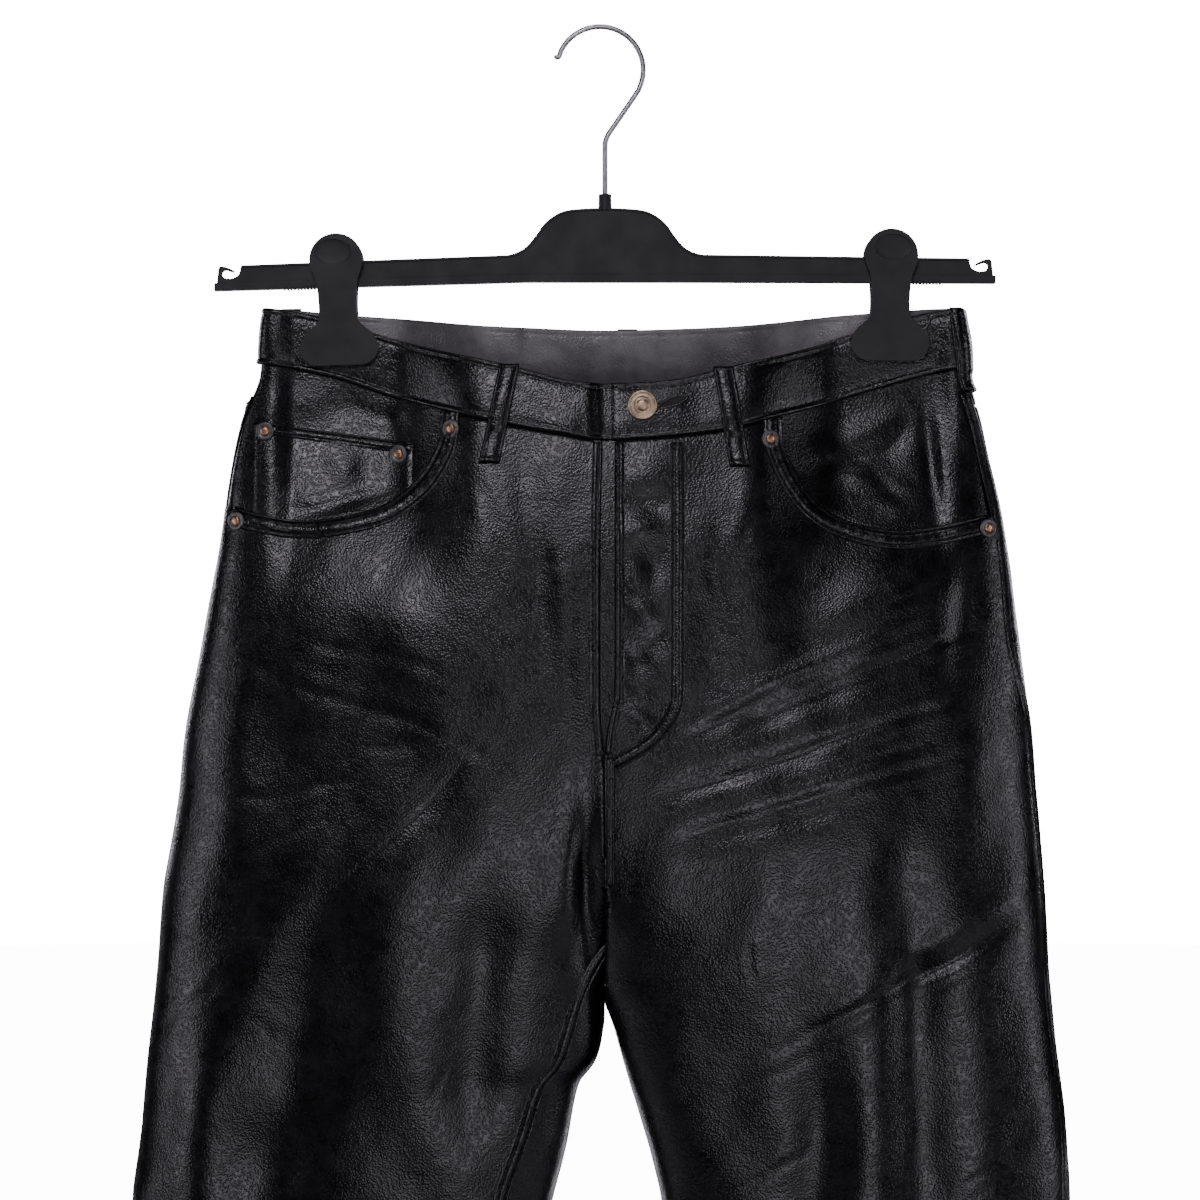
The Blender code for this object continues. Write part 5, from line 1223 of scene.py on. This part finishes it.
COIN_TOP = ((108.0, 236.3), (204.0, 223.2))
COIN_INNER, COIN_OUTER = 109.0, 199.0


def coin_lift(x, down):
    return swell_height(-np.abs(x), down, np.ones_like(np.asarray(x, float)), COIN_SWELLS) + 0.2


def add_coin_pocket():
    """The small pocket on the right facing, with its hem and a double row down each side."""
    x = np.linspace(COIN_INNER, COIN_OUTER, 56)
    top = np.interp(x, *zip(*COIN_TOP))
    edge = np.array(through(POCKET_EDGE[RIGHT], POCKET_STEP))
    end = np.interp(x, edge[:, 0], edge[:, 1]) - 0.2
    downs = top + (end - top) * stations(40.0, 1.6)[:, None]
    across = np.tile(x, (len(downs), 1))
    height = coin_lift(across, downs)
    dip = edge_dip(on_skin(RIGHT, 1, across, downs, LEATHER), 0.8, 0.8)
    angles = angle_at(RIGHT, 1, across, downs)
    faces = wall(RIGHT, angles, downs, height - 0.1, height + LEATHER - dip, fine=False)
    pocket = add_skin("coin_pocket", faces)
    line = list(zip(x[::7], top[::7]))[::-1]
    hem = [Profile(-row.across * 0.66, row.height - 0.55) for row in POCKET_HEM]
    extras = [add_strip("coin_hem", RIGHT, 1, line, hem, 1.3, (0.08, 5.5), coin_lift)]
    extras += add_rows("coin_hem", RIGHT, 1, line, (-1.0, -5.3), 1.5, lift=coin_lift)
    for name, x0, end_down, second in (("coin_side_inner", 111.2, 262.0, -5.0),
                                       ("coin_side_outer", 194.6, 272.0, 4.6)):
        start = float(np.interp(x0, *zip(*COIN_TOP))) + 1.0
        line = [(x0, start), (x0 + 0.4, (start + end_down) / 2), (x0, end_down)]
        extras += add_rows(name, RIGHT, 1, line, (0.0, second), 1.15, lift=coin_lift)
    return pocket, extras


def add_fly_shield():
    x = np.linspace(-10, 39, 30)
    side = np.where(x < 0, RIGHT, LEFT)
    top = band_edge(side, angle_at(side, 1, np.abs(x), np.full(len(x), 234.0)), "seam") + 0.2
    end = 425 - 0.028 * (x - 1) ** 2
    downs = top + (end - top) * np.linspace(0, 1, 60)[:, None]
    angles = angle_at(side, 1, np.abs(x), downs)
    return add_skin("fly_shield", wall(side, angles, downs, -SEAM_GAP - LEATHER, -SEAM_GAP, fine=False))


POCKET_POINT, POCKET_TAPER, MOUTH_TILT = 14.0, 4.0, 6.0
POCKET_FINE_ENDS = (0.0, 0.5, 1.2, 2.2, 3.4)


def back_pocket_corners(side):
    low, high = np.array(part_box(named("back_pocket", side))) / MM
    near, far = sorted((abs(low[0]), abs(high[0])))
    return near, far, -high[2], -low[2]


def add_back_pocket(side):
    """A five-sided patch with a hemmed mouth and a double row of stitches round it."""
    near, far, mouth, foot = back_pocket_corners(side)
    rows = stations(foot - mouth, 3.0, POCKET_FINE_ENDS)[:, None]
    share = stations(far - near, 3.0, POCKET_FINE_ENDS)
    taper = POCKET_TAPER * rows
    x = near + taper + (far - near - 2 * taper) * share
    corner = foot - mouth - POCKET_POINT
    reach = corner + POCKET_POINT * (1 - np.abs(2 * share - 1))
    tilt = MOUTH_TILT * (1 - share) * (1 - rows)
    downs = mouth + tilt + reach * rows * (1 - tilt / 200)
    angles = angle_at(side, -1, x, downs)
    dip = edge_dip(skin(side, angles, downs, LEATHER, fine=False), 0.8, 0.9, hem=True)
    mouth_hem = 0.5 * (1 - ease(0.09, 0.12, rows))
    name, on_top = named("back_pocket", side), 2 * LEATHER + SEAM_GAP
    pocket = add_skin(name, wall(side, angles, downs, LEATHER + 0.1, on_top + mouth_hem - dip))
    extras = []
    for number, inset in enumerate((2.0, 8.0)):
        left, right = near + 1 + inset, far - 1 - inset
        base = mouth + corner - inset
        line = [(left, mouth + 8), (left + 3, base - 4), ((left + right) / 2, base + 12),
                (right - 3, base - 4), (right, mouth + 4)]
        for part, run in enumerate(zip(line, line[1:])):
            extras.append(add_stitches(f"{name}_stitches_{number}_{part}", side, -1, run, 0.0, on_top))
    return pocket, extras


# ==== button and rivets ===========================================================================
Disc = namedtuple("Disc", "name side x down lift radius")
BUTTON = Disc("waist_button", LEFT, 20.9, 215.7, BAND_OUT + 0.25, 8.5)
RIVETS = [Disc(*row) for row in (
    ("rivet_coin_outer", RIGHT, 192.6, 229.5, LEATHER + 0.5, 5.3),
    ("rivet_coin_inner", RIGHT, 116.5, 242.5, 1.9, 5.3),
    ("rivet_pocket_right", RIGHT, 86.0, 228.6, LEATHER + 0.5, 5.3),
    ("rivet_side_right", RIGHT, 208.0, 280.5, 1.9, 5.3),
    ("rivet_pocket_left", LEFT, 92.0, 234.5, LEATHER + 0.5, 5.3),
    ("rivet_side_left", LEFT, 216.0, 284.5, 1.9, 5.3))]
Ring = namedtuple("Ring", "share height")
BUTTON_RINGS = [Ring(*row) for row in (
    (0.80, -0.6), (0.95, 0.0), (0.995, 0.5), (1.00, 1.2), (0.985, 1.9), (0.95, 2.4), (0.90, 2.6), (0.85, 2.5),
    (0.80, 2.2), (0.76, 2.15), (0.66, 2.2), (0.60, 2.35), (0.57, 2.2), (0.54, 1.95), (0.46, 1.9), (0.40, 2.1),
    (0.37, 2.5), (0.33, 2.85), (0.25, 3.05), (0.12, 3.12))]
RIVET_BASE = [Ring(*row) for row in (
    (0.90, -0.6), (0.98, 0.2), (1.00, 0.7), (0.97, 1.1), (0.90, 1.35), (0.80, 1.4), (0.66, 1.25),
    (0.52, 1.15), (0.48, 0.9))]
RIVET_HEAD = [Ring(*row) for row in (
    (0.50, 0.8), (0.50, 1.3), (0.47, 1.6), (0.40, 1.85), (0.28, 2.0), (0.12, 2.05))]


def disc_place(disc):
    down = np.array([float(disc.down)])
    angle = angle_at(disc.side, 1, np.array([disc.x]), down)
    foot = skin(disc.side, angle, down, disc.lift, fine=False)[0]
    axis = outward(body, np.full(1, disc.side), angle, down)[0]
    across = np.cross((0, 0, 1), axis)
    across /= np.linalg.norm(across)
    return foot, axis, across, np.cross(axis, across)


def add_turned(name, place, radius, rings, around, material, nodes=()):
    """A body turned about a disc's axis."""
    foot, axis, across, up = place
    rim = spokes(across, up, around)
    points = np.concatenate([foot + axis * ring.height + rim * ring.share * radius for ring in rings])
    return add_piece(name, points, ring_faces(len(rings), around), material, nodes, 60)


def add_buttons():
    """The waist button, and each rivet as a dull ring round a copper head."""
    add_turned(BUTTON.name + "_fine", disc_place(BUTTON), BUTTON.radius, BUTTON_RINGS, 56, BRASS,
               (BUTTON.name,))
    for rivet in RIVETS:
        place, slot = disc_place(rivet), "rivet_metal"
        add_turned(rivet.name + "_fine", place, rivet.radius, RIVET_BASE, 40, RIVET_RING, (rivet.name,))
        add_turned(rivet.name + "_head", place, rivet.radius, RIVET_HEAD, 28, COPPER)


def add_buttonhole():
    """A worked buttonhole on the band's left end: a corded lip round a dark slit."""
    (middle_x, middle_down), half_long, half_wide, lean = (38.0, 213.7), 8.6, 2.3, math.radians(-20)

    def place(u, v, height):
        x = middle_x + u * math.cos(lean) - v * math.sin(lean)
        down = middle_down + u * math.sin(lean) + v * math.cos(lean)
        return on_skin(LEFT, 1, x, down, height + 0 * x)

    turns = np.linspace(0, 2 * math.pi, 60, endpoint=False)[:, None]
    cord = np.linspace(0, 2 * math.pi, 8, endpoint=False)
    reach = 0.75 * np.cos(cord)
    height = BAND_OUT + 0.35 + 0.55 * np.sin(cord) + 0.08 * np.sin(turns * 30)
    points = place((half_long + reach) * np.cos(turns), (half_wide + reach) * np.sin(turns), height)
    lip = add_piece("buttonhole_lip", points.reshape(-1, 3), ring_faces(60, 8, closed=True), LEATHER_SKIN)
    rows, along = np.linspace(-1, 1, 5)[:, None], np.linspace(-1, 1, 17)
    u, v = along * half_long + 0 * rows, rows * half_wide * np.sqrt(1.02 - along ** 2)
    slit = add_shell("buttonhole_slit", place(u, v, BAND_OUT - 0.6), place(u, v, BAND_OUT + 0.42), SLIT)
    return [lip, slit]


# ==== hanger ======================================================================================
HOOK_MIDDLE, HOOK_RADIUS, WIRE = (-2.9, -23.1), 24.7, 3.1
HOOK_FROM, HOOK_TO, HOOK_TIP = 163.0, -35.0, (-29.0, -15.2)
HOOK_BEND = [(3.4, -57.6), (1.5, -60.6), (0.4, -63.6), (0.0, -67.0)]
HOOK_STEM = [(0.0, -84.0), (0.0, -100.6)]
HOOK_TIP_GIRTH = (0.55, 0.88, 1.0)
ACROSS, DEEP = np.array((1.0, 0.0, 0.0)), np.array((0.0, 1.0, 0.0))
COLLAR_TOP, COLLAR_FOOT, COLLAR_RADIUS = -94.9, -103.0, 3.9
BODY_THICK, RIM_THICK, RIM_HIGH, FLANGE_THICK, FLANGE_HIGH = 5.0, 6.2, 1.4, 7.2, 4.3
HUMP = [(0.0, -101.9), (20.0, -103.2), (28.7, -106.4), (34.8, -111.4), (39.3, -117.7), (44.2, -123.6),
        (49.8, -127.2), (55.5, -128.7)]
ARM_END = (207.2, -130.8)
NOTCH = [(207.8, -133.7), (208.9, -136.2), (211.5, -137.7), (214.3, -138.1), (216.9, -137.4), (218.3, -135.4),
         (217.5, -133.7), (215.5, -133.2), (211.6, -134.6), (211.2, -133.7), (214.9, -131.8), (218.4, -131.0),
         (220.0, -132.0), (220.5, -136.0), (221.2, -142.2), (222.0, -142.4)]
BAR_FOOT_END, BAR_FOOT_MIDDLE = -144.8, -144.2
ARM_DROP = {RIGHT: 0.0245, LEFT: 0.0}
DROP_FROM, FLANGE_END = 45.0, 222.4
TICKS, TICK_PITCH = 10, 1.9
BOX_FACES = ((0, 1, 3, 2), (4, 6, 7, 5), (0, 4, 5, 1), (2, 3, 7, 6), (0, 2, 6, 4), (1, 5, 7, 3))
Clip = namedtuple("Clip", "name side head_x top lean dish_x dish_z")
CLIPS = [Clip("clip_right", RIGHT, -153.4, -116.9, 2.1, -154.5, -127.4),
         Clip("clip_left", LEFT, 163.0, -114.2, -1.0, 163.6, -124.6)]
CLIP_HEAD, CLIP_INNER, CLIP_THICK = 15.2, 3.9, 3.6
CLIP_OUTLINE = [(13.9, -21.0), (11.9, -27.0), (10.9, -36.0), (10.8, -45.0), (11.9, -50.5), (17.3, -55.6),
                (21.0, -60.1), (22.2, -65.5), (20.6, -70.6), (16.0, -74.3), (11.0, -75.0)]
DISH_WIDE, DISH_HIGH, DISH_DEEP = 10.6, 7.2, 0.9


def plate(name, outline, near, far):
    count = len(outline)
    points = [(x, near, z) for x, z in outline] + [(x, far, z) for x, z in outline]
    faces = [list(range(count)), list(range(2 * count - 1, count - 1, -1))]
    faces += [[i, (i + 1) % count, count + (i + 1) % count, count + i] for i in range(count)]
    return solid(name, points, faces)


def combine(target, tool, operation):
    change = target.modifiers.new("join", "BOOLEAN")
    change.operation, change.solver, change.object = operation, "EXACT", tool
    bake(target)
    bpy.data.objects.remove(tool, do_unlink=True)


def bake(item):
    """Apply an object's modifiers."""
    bpy.context.view_layer.update()
    mesh = bpy.data.meshes.new_from_object(item.evaluated_get(bpy.context.evaluated_depsgraph_get()))
    item.modifiers.clear()
    item.data = mesh


def finish_plastic(item, width, segments=2, limit=35, nodes=()):
    """A moulding's rounded edges and its black plastic."""
    bevel = item.modifiers.new("edges", "BEVEL")
    bevel.width, bevel.segments = width * MM, segments
    bevel.limit_method, bevel.angle_limit = "ANGLE", math.radians(limit)
    weigh = item.modifiers.new("normals", "WEIGHTED_NORMAL")
    weigh.weight, weigh.keep_sharp = 100, True
    for polygon in item.data.polygons:
        polygon.use_smooth = True
    bake(item)
    dress(item, PLASTIC, nodes)


def drooped(side, x, z, rise=0.0):
    return side * x, z - ARM_DROP[side] * max(0.0, x - DROP_FROM) + rise


def hump_line():
    return [tuple(point) for point in through(HUMP, 2.5)] + [ARM_END]


def hanger_half(side):
    half = hump_line() + [tuple(point) for point in through(NOTCH[:-1], 0.9)]
    half += [NOTCH[-1], (NOTCH[-1][0], BAR_FOOT_END), (DROP_FROM, BAR_FOOT_MIDDLE)]
    return [drooped(side, x, z) for x, z in half]


def add_hanger():
    """The bar as one moulding: a sunk web inside a rim, a thicker flange below and a collar on top."""
    outline = hanger_half(LEFT) + hanger_half(RIGHT)[:0:-1]
    bar = plate("hanger_bar_fine", outline, -BODY_THICK / 2, BODY_THICK / 2)
    corners = [(RIGHT, FLANGE_END, BAR_FOOT_END), (RIGHT, DROP_FROM, BAR_FOOT_MIDDLE),
               (LEFT, DROP_FROM, BAR_FOOT_MIDDLE), (LEFT, FLANGE_END, BAR_FOOT_END)]
    flange = [drooped(*corner, -0.1) for corner in corners]
    flange += [drooped(*corner, FLANGE_HIGH) for corner in corners[::-1]]
    combine(bar, plate("flange", flange, -FLANGE_THICK / 2, FLANGE_THICK / 2), "UNION")
    combine(bar, collar(), "UNION")
    finish_plastic(bar, 0.45, 2, 40, ("hanger_bar",))
    add_hanger_rim()
    add_hanger_ticks()


def collar(around=40):
    rim = spokes(ACROSS, DEEP, around) * COLLAR_RADIUS
    rings = ((COLLAR_FOOT, 1.0), (COLLAR_TOP + 1.0, 0.93), (COLLAR_TOP + 0.3, 0.9), (COLLAR_TOP, 0.78))
    points = [rim * share + (0, 0, z) for z, share in rings]
    return solid("collar", np.concatenate(points), ring_faces(len(rings), around))


def add_hanger_rim():
    """A bead along the bar's upper edge, over the hump and out along both arms."""
    half, deep = hump_line(), RIM_THICK / 2
    line = np.array([drooped(RIGHT, x, z) for x, z in half[:0:-1]] + [drooped(LEFT, x, z) for x, z in half])
    ahead = unit(np.gradient(line, axis=0))
    under = np.stack([ahead[:, 1], -ahead[:, 0]], axis=-1)
    points = []
    for (x0, z0), (x1, z1) in zip(line - under * 0.1, line + under * RIM_HIGH):
        points += [(x0, -deep, z0), (x0, deep, z0), (x1, deep, z1), (x1, -deep, z1)]
    finish_plastic(solid("hanger_rim", points, ring_faces(len(line), 4)), 0.35)


def add_hanger_ticks():
    """The short ribs across the flange near both ends."""
    deep = FLANGE_THICK / 2 + 0.35
    points, faces = [], []
    for side, first in ((RIGHT, 165.5), (LEFT, 174.0)):
        for number in range(TICKS):
            x, z = drooped(side, first + number * TICK_PITCH, BAR_FOOT_END)
            faces += [[len(points) + corner for corner in face] for face in BOX_FACES]
            points += [(x + dx, y, z + dz)
                       for dx in (-0.45, 0.45) for y in (-deep, deep) for dz in (-0.5, 1.6)]
    finish_plastic(solid("hanger_ticks", points, faces), 0.2)


def add_hook(around=24):
    """The wire: a short tip, a round bend and the stem down into the collar."""
    path = [HOOK_TIP]
    for turn in np.radians(np.arange(HOOK_FROM, HOOK_TO - 1, -11)):
        path.append((HOOK_MIDDLE[0] + HOOK_RADIUS * math.cos(turn),
                     HOOK_MIDDLE[1] + HOOK_RADIUS * math.sin(turn)))
    path = np.array(through(path + HOOK_BEND + HOOK_STEM, 1.2))
    path = np.stack([path[:, 0], 0 * path[:, 0], path[:, 1]], axis=-1)
    girth = np.ones(len(path))
    girth[:3] = HOOK_TIP_GIRTH
    points = [middle + spokes(DEEP, np.cross(way, DEEP), around) * size * WIRE / 2
              for middle, way, size in zip(path, unit(np.gradient(path, axis=0)), girth)]
    add_piece("hanger_hook_fine", np.concatenate(points), ring_faces(len(path), around), STEEL,
              ("hanger_hook",), 60)


def clip_outline(clip):
    head = [(CLIP_HEAD * math.cos(t), CLIP_HEAD * math.sin(t) - CLIP_HEAD)
            for t in np.radians(np.arange(90, -21, -7.5))]
    half = head + [tuple(point) for point in through(CLIP_OUTLINE, 1.6)]
    whole = half + [(-x, z) for x, z in half[:0:-1]]
    lean = math.radians(clip.lean)
    return [(clip.head_x + x * math.cos(lean) - z * math.sin(lean),
             clip.top + x * math.sin(lean) + z * math.cos(lean)) for x, z in whole]


def add_clip(clip):
    """Both jaws of a clip, each with a dish for the thumb and its half of the hinge."""
    for name, way in (("_front", -1), ("_back", 1)):
        near, far = way * CLIP_INNER, way * (CLIP_INNER + CLIP_THICK)
        jaw = plate(clip.name + name + "_fine", clip_outline(clip), near, far)
        dish = bmesh.new()
        bmesh.ops.create_uvsphere(dish, u_segments=40, v_segments=20, radius=1.0)
        for vert in dish.verts:
            vert.co = Vector((clip.dish_x + vert.co.x * DISH_WIDE, far + vert.co.y * DISH_DEEP,
                              clip.dish_z + vert.co.z * DISH_HIGH)) * MM
        combine(jaw, place_mesh("dish", dish), "DIFFERENCE")
        low, high = clip.head_x - 9.0, clip.head_x + 9.0
        foot, head = clip.top - 14.6, clip.top - 4.0
        block = [(low, foot), (high, foot), (high, head), (low, head)]
        combine(jaw, plate("hinge", block, way * 0.15, way * (CLIP_INNER + 0.5)), "UNION")
        finish_plastic(jaw, 0.9, 3, 50, (clip.name + name,))


# ==== stage, lights and camera ====================================================================
AIM = Vector((-0.00285, 0.0, -0.3252))
CAMERA_AWAY, LENS, SENSOR = 1.9, 100.0, 36.0
Light = namedtuple("Light", "name place wide high power")
LIGHTS = [Light(*row) for row in (
    ("front_high", (-0.36, -2.2, 0.86), 0.70, 0.55, 17.5),
    ("front_low", (0.50, -2.5, -0.95), 0.90, 0.80, 9.5), ("side_left", (-2.1, -0.9, -0.4), 0.25, 1.5, 9),
    ("side_right", (2.1, -0.9, -0.4), 0.25, 1.5, 9), ("top", (0.0, -0.4, 1.7), 1.0, 0.4, 6),
    ("back_high", (0.5, 2.5, 0.6), 0.7, 0.6, 18), ("back_low", (-0.4, 2.6, -0.9), 0.8, 0.7, 9),
    ("back_left", (-1.9, 1.7, 0.2), 0.5, 1.3, 18), ("back_right", (1.9, 1.7, 0.2), 0.5, 1.3, 18),
    ("floor_front_left", (-1.6, -1.5, -2.1), 1.3, 0.9, 3),
    ("floor_front_right", (1.6, -1.5, -2.1), 1.3, 0.9, 3),
    ("floor_back_left", (-1.7, 1.7, -1.6), 1.3, 0.9, 9),
    ("floor_back_right", (1.7, 1.7, -1.6), 1.3, 0.9, 9))]
TINT = (1.0, 0.955, 1.05)
FLOOR, FLOOR_GLOW, DOME_GLOW, WORLD_GLOW = -1.42, 14.0, 16.0, 0.003


def add_stage():
    """A pale floor and a pale dome round it; neither is reflected in the leather."""
    floor, dome = bmesh.new(), bmesh.new()
    bmesh.ops.create_circle(floor, cap_ends=True, segments=96, radius=8.9,
                            matrix=Matrix.Translation((0, 0, FLOOR)))
    bmesh.ops.create_icosphere(dome, subdivisions=4, radius=9.0)
    for name, shell, glow in (("floor", floor, FLOOR_GLOW), ("dome", dome, DOME_GLOW)):
        item = place_mesh(name, shell)
        material, tree, shader = new_material(name + "_pale", (0.80, 0.80, 0.80), 0.0, 0.7)
        tree.links.new(mix_colour(tree, noise(tree, 3.0), (0.79, 0.79, 0.79), (0.82, 0.82, 0.82)),
                       shader.inputs["Base Color"])
        shader.inputs["Emission Color"].default_value = (1, 1, 1, 1)
        shader.inputs["Emission Strength"].default_value = glow
        item.data.materials.append(material)
        item.visible_glossy = item.visible_diffuse = item.visible_shadow = False
    world = bpy.data.worlds.new("studio")
    world.use_nodes = True
    world.node_tree.nodes["Background"].inputs["Color"].default_value = (1, 1, 1, 1)
    world.node_tree.nodes["Background"].inputs["Strength"].default_value = WORLD_GLOW
    bpy.context.scene.world = world


def add_lights_and_camera():
    for light in LIGHTS:
        lamp = bpy.data.lights.new(light.name, "AREA")
        lamp.shape, lamp.size, lamp.size_y, lamp.energy = "RECTANGLE", light.wide, light.high, light.power
        lamp.color = TINT
        item = bpy.data.objects.new(light.name, lamp)
        item.location = light.place
        item.rotation_euler = (AIM - Vector(light.place)).to_track_quat("-Z", "Y").to_euler()
        bpy.context.scene.collection.objects.link(item)
    camera = bpy.data.cameras.new("camera")
    camera.lens, camera.sensor_width = LENS, SENSOR
    item = bpy.data.objects.new("camera", camera)
    item.location = AIM + Vector((0, -CAMERA_AWAY, 0))
    item.rotation_euler = (math.radians(90), 0, 0)
    bpy.context.scene.collection.objects.link(item)
    bpy.context.scene.camera = item
    bpy.context.scene.render.resolution_x = 1200
    bpy.context.scene.render.resolution_y = 1200


# ==== the whole ===================================================================================
Cut = namedtuple("Cut", "wide long area")


def build():
    add_stage()
    add_lights_and_camera()
    fly_left, fly_right = add_fly()
    seat = add_back_seams()
    for side, fly in ((RIGHT, fly_right), (LEFT, fly_left + add_fork_seam())):
        inseam, side_seam = add_leg_seams(side)
        add_front(side)
        add_pocket_hem(side) + fly + inseam
        add_back(side)
        add_yoke(side)
        add_facing(side)
        pocket, extras = add_back_pocket(side)
    pocket, extras = add_coin_pocket()
    add_fly_shield()
    right_band, left_band = add_waistbands()
    rows = add_band_stitches()
    rows[LEFT] + add_buttonhole()
    for loop in LOOPS:
        piece, extras = add_loop(loop)
    for loop in SIDE_LOOPS:
        add_side_loop(loop)
    add_buttons()
    add_hanger()
    add_hook()
    for clip in CLIPS:
        add_clip(clip)


build()
